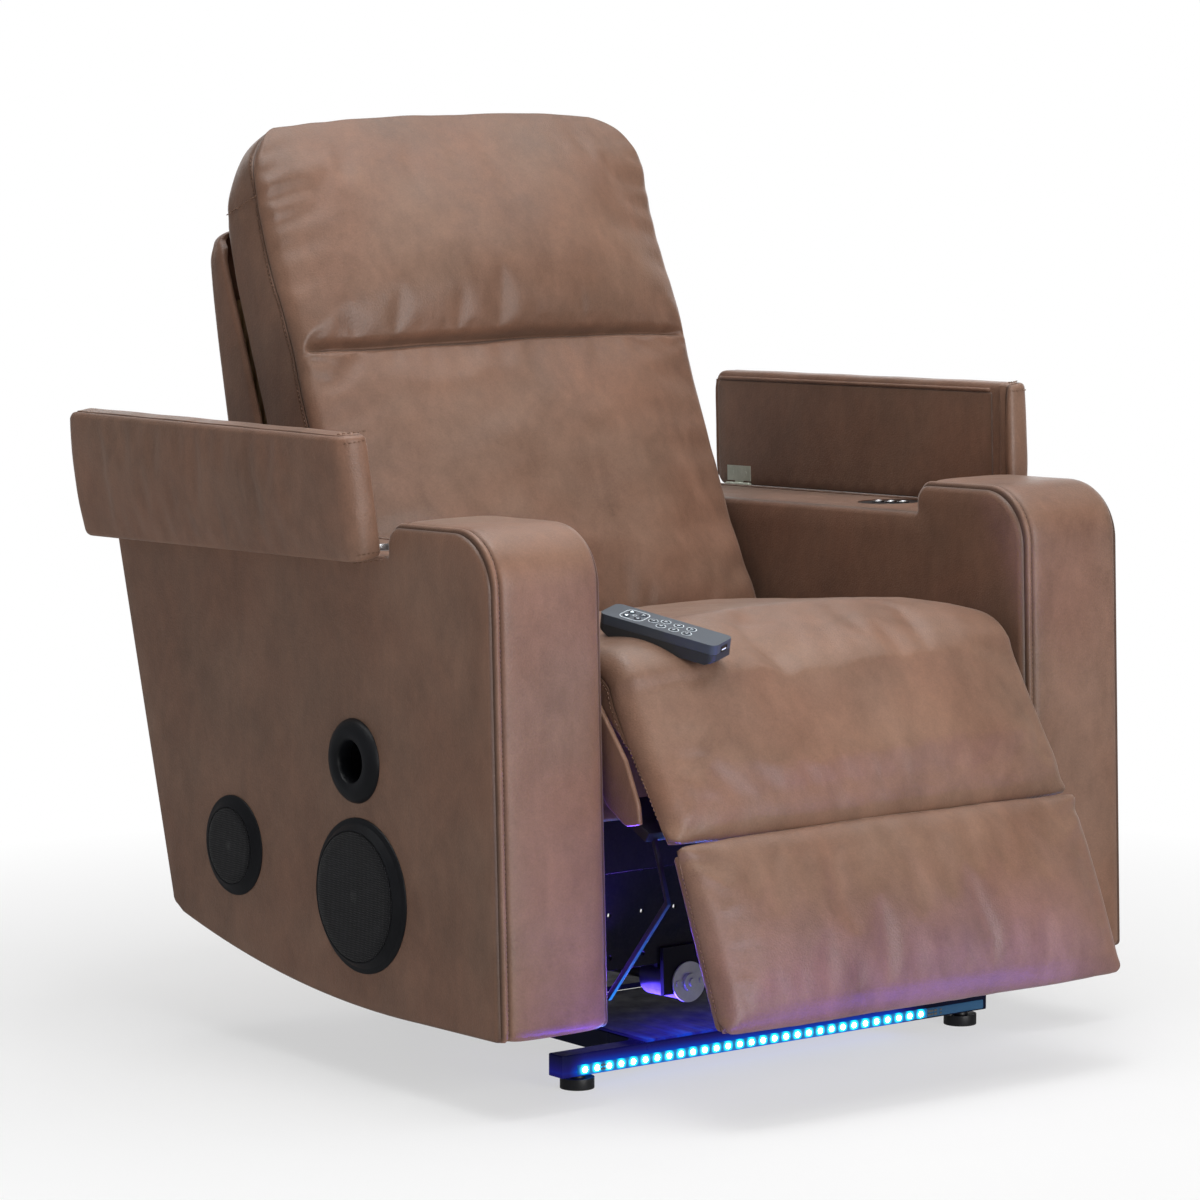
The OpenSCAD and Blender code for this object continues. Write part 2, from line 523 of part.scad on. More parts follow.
// Button places: four in the oval group, one between, then three pairs
hs_btn = [[-6.5, 46], [6.5, 46], [-6.5, 32], [6.5, 32], [0, 16], [-8, 2], [7, 4], [-8, -14], [7, -12], [-8, -30], [7, -28]];
module handset_top_shell() { color([0.28, 0.30, 0.32]) handset_frame() difference() {
  translate([0, 0, hs_split + 0.1]) linear_extrude(-hs_split - 0.1) hs_plan(0, 0, 8);
  translate([0, 0, hs_split]) linear_extrude(-hs_split - 2.5) hs_plan(2, 2, 6);
  for (b = hs_btn) translate([b[0], b[1], -4]) cylinder(h = 6, r = hs_btn_r + run);
} }
module handset_bottom_shell() { color([0.15, 0.15, 0.16]) handset_frame() difference() {
  intersection() {
    translate([0, 0, -hs_t]) linear_extrude(hs_t + hs_split - 0.1) hs_plan(0, 0, 8);
    yz(-hs_w, hs_w) polygon([[-hs_len / 2, hs_split], [hs_len / 2, hs_split], [hs_len / 2, hs_split - 5], [hs_len / 2 - 14, -hs_t], [-hs_len / 2 + 11, -hs_t], [-hs_len / 2, hs_split - 8]]);
  }
  translate([0, 0, -hs_t + 2.5]) linear_extrude(hs_t) hs_plan(3, 30, 5);
} }
module handset_button(i) { color([0.1, 0.12, 0.15]) handset_frame() translate([hs_btn[i][0], hs_btn[i][1], -3.6]) cylinder(h = 4.2, r = hs_btn_r); }

// ---------- nodes ----------
module arm_right_carcass() { color(wood) lean_frame() arm_carcass(); }
module arm_right_side_panel() { color(leather) lean_frame() arm_side_panel(); }
module arm_right_front_cap() { color(leather) lean_frame() arm_front_cap(); }
module arm_left_carcass() { color(wood) lean_frame() mirror([1, 0, 0]) arm_carcass(); }
module arm_left_side_panel() { color(leather) lean_frame() mirror([1, 0, 0]) arm_side_panel(); }
module arm_left_front_cap() { color(leather) lean_frame() mirror([1, 0, 0]) arm_front_cap(); }
module lid_hinge_bases() { color([0.8, 0.8, 0.78]) lean_frame() both() lid_hinge_base(); }
module lid_right_board() { color(wood) lean_frame() lid_pose(lid_right_open) lid_board(); }
module lid_right_pad() { color(leather) lean_frame() lid_pose(lid_right_open) lid_pad(); }
module lid_right_leaves() { color([0.8, 0.8, 0.78]) lean_frame() lid_pose(lid_right_open) lid_leaf(); }
module lid_left_board() { color(wood) lean_frame() mirror([1, 0, 0]) lid_pose(lid_left_open) lid_board(); }
module lid_left_pad() { color(leather) lean_frame() mirror([1, 0, 0]) lid_pose(lid_left_open) lid_pad(); }
module lid_left_leaves() { color([0.8, 0.8, 0.78]) lean_frame() mirror([1, 0, 0]) lid_pose(lid_left_open) lid_leaf(); }
module panel_button_1() { panel_button(0); }
module panel_button_2() { panel_button(1); }
module panel_button_3() { panel_button(2); }

base_frame();
front_pan();
led_strip();
glide_feet();
tilt_brackets();
mechanism_frame();
seat_rails();
seat_springs();
seat_cushion();
rear_skirt();
arm_right_carcass();
arm_right_side_panel();
arm_right_front_cap();
arm_right_shelf();
arm_left_carcass();
arm_left_side_panel();
arm_left_front_cap();
arm_left_shelf();
cup_holder();
control_panel();
panel_button_1();
panel_button_2();
panel_button_3();
speaker_rings();
speaker_grilles();
speaker_drivers();
bass_ports();
lid_hinge_bases();
actuators();
electronics_boxes();
lid_right_board();
lid_right_pad();
lid_right_leaves();
lid_left_board();
lid_left_pad();
lid_left_leaves();
footrest_arms();
chaise_pad();
footrest_board();
footrest_pad();
footrest_nut();
recline_nut();
back_frame();
outside_back();
back_cushion();
headrest_frame();
headrest_cushion();
handset_top_shell();
handset_bottom_shell();
handset_button(0);  // handset_button_1
handset_button(1);  // handset_button_2
handset_button(2);  // handset_button_3
handset_button(3);  // handset_button_4
handset_button(4);  // handset_button_5
handset_button(5);  // handset_button_6
handset_button(6);  // handset_button_7
handset_button(7);  // handset_button_8
handset_button(8);  // handset_button_9
handset_button(9);  // handset_button_10
handset_button(10);  // handset_button_11
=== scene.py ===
import math

import bmesh
import bpy
import numpy as np
from mathutils import Matrix, Vector
from mathutils.bvhtree import BVHTree
from mathutils.geometry import delaunay_2d_cdt


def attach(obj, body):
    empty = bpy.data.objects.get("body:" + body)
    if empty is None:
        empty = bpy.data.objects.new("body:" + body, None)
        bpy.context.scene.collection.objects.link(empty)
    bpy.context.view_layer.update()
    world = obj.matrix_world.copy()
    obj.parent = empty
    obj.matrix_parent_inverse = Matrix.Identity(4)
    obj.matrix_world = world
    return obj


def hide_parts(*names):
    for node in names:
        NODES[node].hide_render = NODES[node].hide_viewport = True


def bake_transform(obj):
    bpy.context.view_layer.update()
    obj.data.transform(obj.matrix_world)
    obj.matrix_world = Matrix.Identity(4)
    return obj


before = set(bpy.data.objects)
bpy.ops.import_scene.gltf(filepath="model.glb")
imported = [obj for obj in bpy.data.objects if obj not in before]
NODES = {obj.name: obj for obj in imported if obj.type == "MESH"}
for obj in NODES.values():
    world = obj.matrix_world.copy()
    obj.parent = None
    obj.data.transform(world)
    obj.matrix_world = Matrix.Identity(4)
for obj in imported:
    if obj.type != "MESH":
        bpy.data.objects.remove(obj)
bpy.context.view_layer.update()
COLL = bpy.context.scene.collection

# ------------------------------------------------------------------ frames
# Lengths are written in millimetres in the chair's own frame and turned into the row frame here.
FX, FY, LEAN = 8.359, 133.149, math.radians(1.94)
CL, SL = math.cos(LEAN), math.sin(LEAN)


def leaned(p):
    p = np.asarray(p, float)
    return np.stack([p[..., 0] + FX, p[..., 1] * CL + p[..., 2] * SL + FY, -p[..., 1] * SL + p[..., 2] * CL], -1) / 1000


def floored(p):
    p = np.asarray(p, float)
    return np.stack([p[..., 0] + FX, p[..., 1] + FY, p[..., 2]], -1) / 1000


HS_AT = np.array([-200.0, -412.0, 509.0])
_r = [math.radians(a) for a in (11.4, -8.4, 22.2)]
HS_R = np.array(Matrix.Rotation(_r[2], 3, "Z") @ Matrix.Rotation(_r[1], 3, "Y") @ Matrix.Rotation(_r[0], 3, "X"))


def handset(p):
    return floored(np.asarray(p, float) @ HS_R.T + HS_AT)


def lid_frame(side):
    """Closed-lid millimetres to the row frame, with the lid open as it stands at rest."""
    ang = math.radians(97 if side < 0 else 90)
    c, s = math.cos(ang), math.sin(ang)

    def f(p):
        p = np.asarray(p, float)
        x, z = p[..., 0] + 449.5, p[..., 2] - 575.5
        X = -449.5 + x * c - z * s
        Z = 575.5 + x * s + z * c
        if side > 0:
            X = -X
        return leaned(np.stack([X, p[..., 1], Z], -1))

    return f


def mirrored(f):
    return lambda p: f(np.asarray(p, float) * np.array([-1.0, 1, 1]))


# ------------------------------------------------------------------ mesh helpers
def mk(name, verts, faces, to=leaned, mat=None, smooth=True, flip=False, attrs=None, auto=None, mats=None, fmat=None):
    v = to(np.asarray(verts, float).reshape(-1, 3))
    me = bpy.data.meshes.new(name)
    fs = [tuple(int(i) for i in (f[::-1] if flip else f)) for f in faces]
    me.from_pydata(v.tolist(), [], fs)
    me.validate()
    for k, a in (attrs or {}).items():
        at = me.attributes.new(k, "FLOAT", "POINT")
        at.data.foreach_set("value", np.asarray(a, np.float32).ravel())
    ob = bpy.data.objects.new(name, me)
    COLL.objects.link(ob)
    for m in mats or ([mat] if mat else []):
        me.materials.append(m)
    if fmat is not None:
        me.polygons.foreach_set("material_index", np.asarray(fmat, np.int32))
    me.polygons.foreach_set("use_smooth", [smooth] * len(me.polygons))
    if auto is not None:
        sharp(ob, auto)
    me.update()
    return ob


def sharp(ob, deg):
    bm = bmesh.new()
    bm.from_mesh(ob.data)
    for e in bm.edges:
        if len(e.link_faces) == 2 and e.calc_face_angle(0) > math.radians(deg):
            e.smooth = False
    bm.to_mesh(ob.data)
    bm.free()


def weld(ob, d=0.00002, normals=True):
    bm = bmesh.new()
    bm.from_mesh(ob.data)
    bmesh.ops.remove_doubles(bm, verts=bm.verts, dist=d)
    bmesh.ops.dissolve_degenerate(bm, edges=bm.edges, dist=d / 2)
    if normals:
        bmesh.ops.recalc_face_normals(bm, faces=bm.faces)
    bm.to_mesh(ob.data)
    bm.free()
    ob.data.update()
    return ob


def outward(ob):
    bm = bmesh.new()
    bm.from_mesh(ob.data)
    bmesh.ops.recalc_face_normals(bm, faces=bm.faces)
    bm.to_mesh(ob.data)
    bm.free()
    ob.data.update()
    return ob


def subsurf(ob, n=1):
    m = ob.modifiers.new("sub", "SUBSURF")
    m.levels = m.render_levels = n
    apply_mods(ob)
    return ob


def apply_mods(ob):
    dg = bpy.context.evaluated_depsgraph_get()
    me = bpy.data.meshes.new_from_object(ob.evaluated_get(dg), preserve_all_data_layers=True, depsgraph=dg)
    ob.modifiers.clear()
    old = ob.data
    ob.data = me
    bpy.data.meshes.remove(old)
    return ob


def grid_faces(m, n, closed=True, base=0, wrap_m=False):
    """Quads of an m x n grid of vertices; closed joins the last column to the first."""
    i = np.arange(m if wrap_m else m - 1)[:, None]
    j = np.arange(n if closed else n - 1)[None, :]
    i2, j2 = (i + 1) % m, (j + 1) % n
    f = np.stack(np.broadcast_arrays(i * n + j, i * n + j2, i2 * n + j2, i2 * n + j), -1).reshape(-1, 4) + base
    return f.tolist()


def loft(name, G, caps=True, **kw):
    """A closed tube from loops G (m, n, 3)."""
    m, n = G.shape[:2]
    faces = grid_faces(m, n)
    if caps:
        faces += [list(range(n))[::-1], list(range((m - 1) * n, m * n))]
    ob = mk(name, G.reshape(-1, 3), faces, **kw)
    return outward(ob)


def sstep(a, b, x):
    t = np.clip((np.asarray(x, float) - a) / (b - a), 0, 1)
    return t * t * (3 - 2 * t)


def gauss(x, c, w):
    return np.exp(-(((np.asarray(x, float) - c) / w) ** 2))


def resample(P, step=None, n=None, closed=False):
    P = np.asarray(P, float)
    if closed:
        P = np.vstack([P, P[:1]])
    d = np.r_[0, np.cumsum(np.linalg.norm(np.diff(P, axis=0), axis=1))]
    if n is None:
        n = max(2, int(round(d[-1] / step)) + 1)
    t = np.linspace(0, d[-1], n)
    Q = np.stack([np.interp(t, d, P[:, k]) for k in range(P.shape[1])], -1)
    return Q[:-1] if closed else Q


def smooth_path(P, n, it=0):
    """Catmull-Rom through the points, resampled evenly."""
    P = np.asarray(P, float)
    Q = np.vstack([2 * P[0] - P[1], P, 2 * P[-1] - P[-2]])
    out = []
    for i in range(1, len(Q) - 2):
        t = np.linspace(0, 1, 24, endpoint=False)[:, None]
        p0, p1, p2, p3 = Q[i - 1], Q[i], Q[i + 1], Q[i + 2]
        out.append(0.5 * (2 * p1 + (p2 - p0) * t + (2 * p0 - 5 * p1 + 4 * p2 - p3) * t**2 + (3 * p1 - p0 - 3 * p2 + p3) * t**3))
    out.append(P[-1:])
    return resample(np.vstack(out), n=n)


def tangents(P, closed=False):
    P = np.asarray(P, float)
    T = np.roll(P, -1, 0) - np.roll(P, 1, 0) if closed else np.gradient(P, axis=0)
    return T / np.maximum(np.linalg.norm(T, axis=1, keepdims=True), 1e-9)


def arc(cx, cy, r, a0, a1, n):
    a = np.radians(np.linspace(a0, a1, n + 1))
    return np.stack([cx + r * np.cos(a), cy + r * np.sin(a)], -1)


def rng(seed):
    return np.random.RandomState(seed)


def wobble(x, y, seed, scale, amp, n=5):
    """Smooth seeded noise of two coordinates, as a sum of a few waves."""
    r = rng(seed)
    out = np.zeros(np.broadcast(x, y).shape)
    for _ in range(n):
        a, f, p = r.uniform(0, 2 * math.pi), r.uniform(0.6, 1.7) / scale, r.uniform(0, 2 * math.pi)
        out = out + np.sin((x * math.cos(a) + y * math.sin(a)) * f * 2 * math.pi + p)
    return out * amp / n**0.5


# ------------------------------------------------------------------ materials
class NT:
    def __init__(self, name):
        self.m = bpy.data.materials.new(name)
        self.m.use_nodes = True
        self.t = self.m.node_tree
        self.t.nodes.clear()
        self.out = self.n("ShaderNodeOutputMaterial")
        self.b = self.n("ShaderNodeBsdfPrincipled")
        self.l(self.b.outputs[0], self.out.inputs[0])

    def n(self, kind, **kw):
        nd = self.t.nodes.new(kind)
        for k, v in kw.items():
            if k.startswith("i_"):
                nd.inputs[int(k[2:])].default_value = v
            else:
                setattr(nd, k, v)
        return nd

    def l(self, a, b):
        self.t.links.new(a, b)

    def set(self, **kw):
        for k, v in kw.items():
            self.b.inputs[k.replace("_", " ")].default_value = v

    def coords(self, kind, scale=(1, 1, 1), rot=(0, 0, 0)):
        if kind == "rest":
            src = self.n("ShaderNodeAttribute", attribute_name="rest").outputs["Vector"]
        else:
            src = self.n("ShaderNodeTexCoord").outputs["Object"]
        mp = self.n("ShaderNodeMapping")
        mp.inputs["Scale"].default_value = scale
        mp.inputs["Rotation"].default_value = rot
        self.l(src, mp.inputs[0])
        return mp.outputs[0]

    def noise(self, vec, scale, detail=3, rough=0.5, dist=0.0):
        nd = self.n("ShaderNodeTexNoise")
        nd.inputs["Scale"].default_value = scale
        nd.inputs["Detail"].default_value = detail
        nd.inputs["Roughness"].default_value = rough
        nd.inputs["Distortion"].default_value = dist
        self.l(vec, nd.inputs["Vector"])
        return nd.outputs["Fac"]

    def voronoi(self, vec, scale, feature="F1"):
        nd = self.n("ShaderNodeTexVoronoi", feature=feature)
        nd.inputs["Scale"].default_value = scale
        self.l(vec, nd.inputs["Vector"])
        return nd.outputs["Distance"]

    def ramp(self, fac, stops):
        nd = self.n("ShaderNodeValToRGB")
        el = nd.color_ramp.elements
        while len(el) < len(stops):
            el.new(0.5)
        for e, (p, c) in zip(el, stops):
            e.position = p
            e.color = (*c, 1) if len(c) == 3 else c
        self.l(fac, nd.inputs[0])
        return nd.outputs[0]

    def mix(self, fac, a, b, mode="MIX"):
        nd = self.n("ShaderNodeMix", data_type="RGBA", blend_type=mode)
        for s, v in ((0, fac), (6, a), (7, b)):
            if hasattr(v, "is_linked") or hasattr(v, "links"):
                self.l(v, nd.inputs[s])
            elif isinstance(v, (int, float)):
                nd.inputs[s].default_value = v
            else:
                nd.inputs[s].default_value = (*v, 1)
        return nd.outputs[2]

    def math(self, op, a, b=0.0, clamp=False):
        nd = self.n("ShaderNodeMath", operation=op, use_clamp=clamp)
        for s, v in ((0, a), (1, b)):
            if isinstance(v, (int, float)):
                nd.inputs[s].default_value = v
            else:
                self.l(v, nd.inputs[s])
        return nd.outputs[0]

    def maprange(self, v, a, b, c, d):
        nd = self.n("ShaderNodeMapRange")
        for s, x in ((1, a), (2, b), (3, c), (4, d)):
            nd.inputs[s].default_value = x
        self.l(v, nd.inputs[0])
        return nd.outputs[0]

    def bump(self, h, dist, strength=1.0, prev=None):
        nd = self.n("ShaderNodeBump")
        nd.inputs["Strength"].default_value = strength
        nd.inputs["Distance"].default_value = dist
        self.l(h, nd.inputs["Height"])
        if prev is not None:
            self.l(prev, nd.inputs["Normal"])
        return nd.outputs[0]

    def attr(self, name):
        return self.n("ShaderNodeAttribute", attribute_name=name).outputs["Fac"]


def srgb(r, g, b):
    f = lambda c: c / 12.92 if c <= 0.04045 else ((c + 0.055) / 1.055) ** 2.4
    return tuple(f(c / 255) for c in (r, g, b))


LEATHER = (0.186, 0.101, 0.067)


def leather(name, kind="rest", dark=1.0, seam_shade=True):
    """Brown faux nubuck: quiet clouds with faint upright streaks, fine pebble grain, soft sheen, and painted shade that
    darkens the sewn seam lines.
    """
    t = NT(name)
    v = t.coords(kind)
    vs = t.coords(kind, (1.25, 1.25, 0.72))
    big = t.noise(v, 4.2, 3, 0.55, 0.5)
    mid = t.noise(vs, 16, 4, 0.6, 0.7)
    fine = t.noise(vs, 62, 4, 0.65, 0.3)
    tiny = t.noise(v, 480, 3, 0.65)
    val = t.math("ADD", t.maprange(big, 0.3, 0.7, 0.86, 1.12), t.maprange(mid, 0.3, 0.7, -0.13, 0.13))
    val = t.math("ADD", val, t.maprange(fine, 0.3, 0.7, -0.07, 0.07))
    val = t.math("ADD", val, t.maprange(tiny, 0.3, 0.7, -0.11, 0.11))
    base = tuple(c * dark for c in LEATHER)
    warm = tuple(c * dark * q for c, q in zip(LEATHER, (1.03, 0.985, 0.96)))
    cool = tuple(c * dark * q for c, q in zip(LEATHER, (0.975, 1.02, 1.03)))
    c = t.mix(t.maprange(t.noise(v, 7.5, 2, 0.5), 0.35, 0.65, 0.0, 1.0), warm, cool)
    g = t.n("ShaderNodeCombineColor")
    for k in range(3):
        t.l(val, g.inputs[k])
    c = t.mix(1.0, c, g.outputs[0], "MULTIPLY")
    if seam_shade:
        # painted shade: the leather is darkened nearly to black in the grooves along seams and joints
        sm = t.attr("seam_shade")
        c = t.mix(t.math("MULTIPLY", sm, 0.74, True), c, (0.022, 0.011, 0.007))
        ed = t.attr("edge")
        c = t.mix(t.math("MULTIPLY", ed, 0.30, True), c, tuple(x * 1.35 for x in base))
    t.l(c, t.b.inputs["Base Color"])
    pore = t.voronoi(v, 820, "SMOOTH_F1")
    peb = t.voronoi(v, 430, "F1")
    h = t.math("ADD", t.math("MULTIPLY", pore, 0.5), t.math("MULTIPLY", peb, 0.6))
    h = t.math("ADD", h, t.math("MULTIPLY", tiny, 0.45))
    n1 = t.bump(t.noise(v, 24, 4, 0.6), 0.0030, 0.30)
    n2 = t.bump(h, 0.00042, 0.60, n1)
    t.l(n2, t.b.inputs["Normal"])
    t.l(t.maprange(mid, 0.3, 0.7, 0.37, 0.50), t.b.inputs["Roughness"])
    t.set(Specular_IOR_Level=0.40, Sheen_Weight=0.12, Sheen_Roughness=0.40)
    t.b.inputs["Sheen Tint"].default_value = (0.98, 0.93, 0.88, 1)
    return t.m


def lining(name, kind="rest"):
    """Dark woven dust cloth."""
    t = NT(name)
    v = t.coords(kind)
    w1 = t.n("ShaderNodeTexWave", wave_type="BANDS", bands_direction="X")
    w1.inputs["Scale"].default_value = 160
    w2 = t.n("ShaderNodeTexWave", wave_type="BANDS", bands_direction="Y")
    w2.inputs["Scale"].default_value = 160
    t.l(v, w1.inputs[0])
    t.l(v, w2.inputs[0])
    h = t.math("MULTIPLY", w1.outputs["Fac"], w2.outputs["Fac"])
    t.l(t.ramp(t.noise(v, 40, 4), [(0.3, (0.010, 0.010, 0.011)), (0.7, (0.022, 0.021, 0.022))]), t.b.inputs["Base Color"])
    t.l(t.bump(h, 0.0003, 0.6), t.b.inputs["Normal"])
    t.set(Roughness=0.9)
    return t.m


def metal(name, base, rough=(0.3, 0.5), metallic=1.0, scale=30, grain=0.0, bump=0.0002, tint=None, kind="object"):
    t = NT(name)
    v = t.coords(kind)
    n = t.noise(v, scale, 5, 0.6, 0.5)
    f = t.noise(v, 260, 4, 0.7)
    c = t.mix(t.maprange(n, 0.35, 0.7, 0.0, 0.6), base, tint or tuple(x * 0.55 for x in base))
    c = t.mix(t.maprange(f, 0.45, 0.8, 0.0, 0.25), c, tuple(min(1, x * 1.6 + 0.02) for x in base))
    t.l(c, t.b.inputs["Base Color"])
    t.l(t.maprange(n, 0.3, 0.7, *rough), t.b.inputs["Roughness"])
    t.l(t.bump(t.math("ADD", f, t.math("MULTIPLY", n, 0.6)), bump, 0.5), t.b.inputs["Normal"])
    t.set(Metallic=metallic)
    return t.m


def plastic(name, base, rough=(0.35, 0.5), scale=700, bump=0.0001, coat=0.0, spec=0.5, kind="object"):
    t = NT(name)
    v = t.coords(kind)
    n = t.noise(v, 22, 4, 0.6)
    g = t.voronoi(v, scale, "F1")
    t.l(t.mix(t.maprange(n, 0.35, 0.7, 0.0, 0.5), base, tuple(x * 1.5 + 0.002 for x in base)), t.b.inputs["Base Color"])
    t.l(t.maprange(n, 0.3, 0.7, *rough), t.b.inputs["Roughness"])
    t.l(t.bump(g, bump, 0.5), t.b.inputs["Normal"])
    t.set(Specular_IOR_Level=spec, Coat_Weight=coat, Coat_Roughness=0.15)
    return t.m


def wood(name, kind="object"):
    t = NT(name)
    v = t.coords(kind, (1, 1, 0.14))
    w = t.n("ShaderNodeTexWave", wave_type="RINGS")
    w.inputs["Scale"].default_value = 22
    w.inputs["Distortion"].default_value = 6
    w.inputs["Detail"].default_value = 4
    t.l(v, w.inputs[0])
    f = t.noise(v, 190, 5, 0.7)
    c = t.ramp(w.outputs["Fac"], [(0.0, srgb(150, 116, 78)), (0.5, srgb(186, 152, 108)), (1.0, srgb(202, 172, 130))])
    c = t.mix(t.maprange(f, 0.4, 0.75, 0.0, 0.45), c, srgb(120, 86, 54))
    t.l(c, t.b.inputs["Base Color"])
    t.l(t.bump(t.math("ADD", w.outputs["Fac"], f), 0.0003, 0.5), t.b.inputs["Normal"])
    t.set(Roughness=0.62)
    return t.m


def grille(name):
    """Charcoal speaker cloth, a fine open weave."""
    t = NT(name)
    v = t.coords("object")
    parts = []
    for d in ("Y", "Z"):
        w = t.n("ShaderNodeTexWave", wave_type="BANDS", bands_direction=d)
        w.inputs["Scale"].default_value = 125
        w.inputs["Distortion"].default_value = 0.25
        t.l(v, w.inputs[0])
        parts.append(w.outputs["Fac"])
    h = t.math("MULTIPLY", *parts)
    n = t.noise(v, 30, 3)
    c = t.ramp(h, [(0.0, srgb(8, 8, 10)), (0.45, srgb(22, 22, 26)), (1.0, srgb(44, 45, 50))])
    c = t.mix(t.maprange(n, 0.35, 0.7, 0.0, 0.35), c, srgb(30, 31, 36))
    t.l(c, t.b.inputs["Base Color"])
    t.l(t.bump(h, 0.0006, 0.8), t.b.inputs["Normal"])
    t.set(Roughness=0.85, Specular_IOR_Level=0.25, Sheen_Weight=0.1)
    return t.m


def thread(name, col):
    t = NT(name)
    v = t.coords("object")
    f = t.noise(v, 900, 2)
    t.l(t.mix(t.maprange(f, 0.3, 0.7, 0.0, 1.0), col, tuple(c * 0.6 for c in col)), t.b.inputs["Base Color"])
    t.l(t.bump(f, 0.0002, 0.6), t.b.inputs["Normal"])
    t.set(Roughness=0.55, Specular_IOR_Level=0.4)
    return t.m


def emitter(name, col, power):
    t = NT(name)
    v = t.coords("object")
    n = t.noise(v, 400, 2)
    t.l(t.mix(t.maprange(n, 0.3, 0.7, 0, 0.4), col, (1, 1, 1)), t.b.inputs["Emission Color"])
    t.set(Emission_Strength=power, Roughness=0.3)
    t.b.inputs["Base Color"].default_value = (0.8, 0.95, 1, 1)
    return t.m


def near_leds(name, base, reach, power, ymax, rough=(0.25, 0.4), streak=0.0):
    """Dark metal with the blue light of the strip painted on as a glow where it is close to it."""
    t = NT(name)
    v = t.coords("object")
    sep = t.n("ShaderNodeSeparateXYZ")
    t.l(v, sep.inputs[0])
    n = t.noise(v, 40, 4, 0.6)
    t.l(t.mix(t.maprange(n, 0.35, 0.7, 0.0, 0.5), base, tuple(c * 0.5 for c in base)), t.b.inputs["Base Color"])
    t.l(t.maprange(n, 0.3, 0.7, *rough), t.b.inputs["Roughness"])
    if reach < 0:
        g = t.maprange(sep.outputs[1], -0.240, -0.240 - reach, 1.0, 0.0)
    else:
        d = t.math("ABSOLUTE", t.math("SUBTRACT", sep.outputs[2], 0.0205))
        g = t.math("MULTIPLY", t.maprange(d, 0.0, reach, 1.0, 0.0), t.math("LESS_THAN", sep.outputs[1], ymax))
    on = t.math("MULTIPLY", t.maprange(sep.outputs[0], 0.175, 0.225, 1.0, 0.0), t.maprange(sep.outputs[0], -0.29, -0.27, 0.4, 1.0))
    g = t.math("MULTIPLY", t.math("POWER", g, 1.5, True), on)
    if streak:
        w = t.noise(t.coords("object", (1.0, 0.12, 1.0)), 90, 4, 0.7)
        g = t.math("MULTIPLY", g, t.maprange(w, 0.35, 0.65, 0.34, 0.60))
    t.l(t.ramp(g, [(0.0, (0.012, 0.008, 0.10)), (0.35, (0.016, 0.012, 0.30)), (0.65, (0.0, 0.06, 0.60)), (1.0, (0.0, 0.32, 0.9))]), t.b.inputs["Emission Color"])
    t.l(t.math("MULTIPLY", g, power), t.b.inputs["Emission Strength"])
    t.set(Metallic=0.0, Specular_IOR_Level=0.05 if streak else 0.10)
    return t.m


def arm_metal(name):
    """Dark footrest linkage; its thin edges low down carry a painted glow for the light of the strip."""
    t = NT(name)
    v = t.coords("object")
    sep = t.n("ShaderNodeSeparateXYZ")
    t.l(v, sep.inputs[0])
    geo = t.n("ShaderNodeNewGeometry")
    ns = t.n("ShaderNodeSeparateXYZ")
    t.l(geo.outputs["Normal"], ns.inputs[0])
    n = t.noise(v, 60, 4, 0.6)
    t.l(t.mix(t.maprange(n, 0.35, 0.7, 0, 0.5), (0.020, 0.020, 0.030), (0.012, 0.012, 0.020)), t.b.inputs["Base Color"])
    t.l(t.maprange(n, 0.3, 0.7, 0.35, 0.5), t.b.inputs["Roughness"])
    t.l(t.bump(n, 0.0002, 0.4), t.b.inputs["Normal"])
    g = t.math("MULTIPLY", t.math("LESS_THAN", t.math("ABSOLUTE", ns.outputs[0]), 0.6), t.maprange(sep.outputs[2], 0.05, 0.26, 1.0, 0.0))
    g = t.math("MULTIPLY", g, t.maprange(n, 0.3, 0.7, 0.5, 1.0))
    t.l(t.ramp(g, [(0.0, (0.0, 0.02, 0.30)), (1.0, (0.0, 0.45, 0.95))]), t.b.inputs["Emission Color"])
    t.l(t.math("MULTIPLY", g, 0.75), t.b.inputs["Emission Strength"])
    t.set(Metallic=0.5)
    return t.m


def flange_metal(name):
    """Gear motor: bright machined face to the front, dark housing behind it."""
    t = NT(name)
    v = t.coords("object")
    sep = t.n("ShaderNodeSeparateXYZ")
    t.l(v, sep.inputs[0])
    n = t.noise(v, 60, 4, 0.6)
    back = t.math("SUBTRACT", t.math("MULTIPLY", sep.outputs[1], CL), t.math("MULTIPLY", sep.outputs[2], SL))
    f = t.maprange(back, -0.1702, -0.1696, 0.0, 1.0)
    hi = t.mix(t.maprange(n, 0.35, 0.7, 0, 0.5), (0.62, 0.63, 0.67), (0.40, 0.41, 0.46))
    t.l(t.mix(f, hi, (0.020, 0.020, 0.026)), t.b.inputs["Base Color"])
    t.l(t.maprange(n, 0.3, 0.7, 0.28, 0.45), t.b.inputs["Roughness"])
    t.l(t.bump(n, 0.0002, 0.4), t.b.inputs["Normal"])
    t.set(Metallic=0.75)
    return t.m


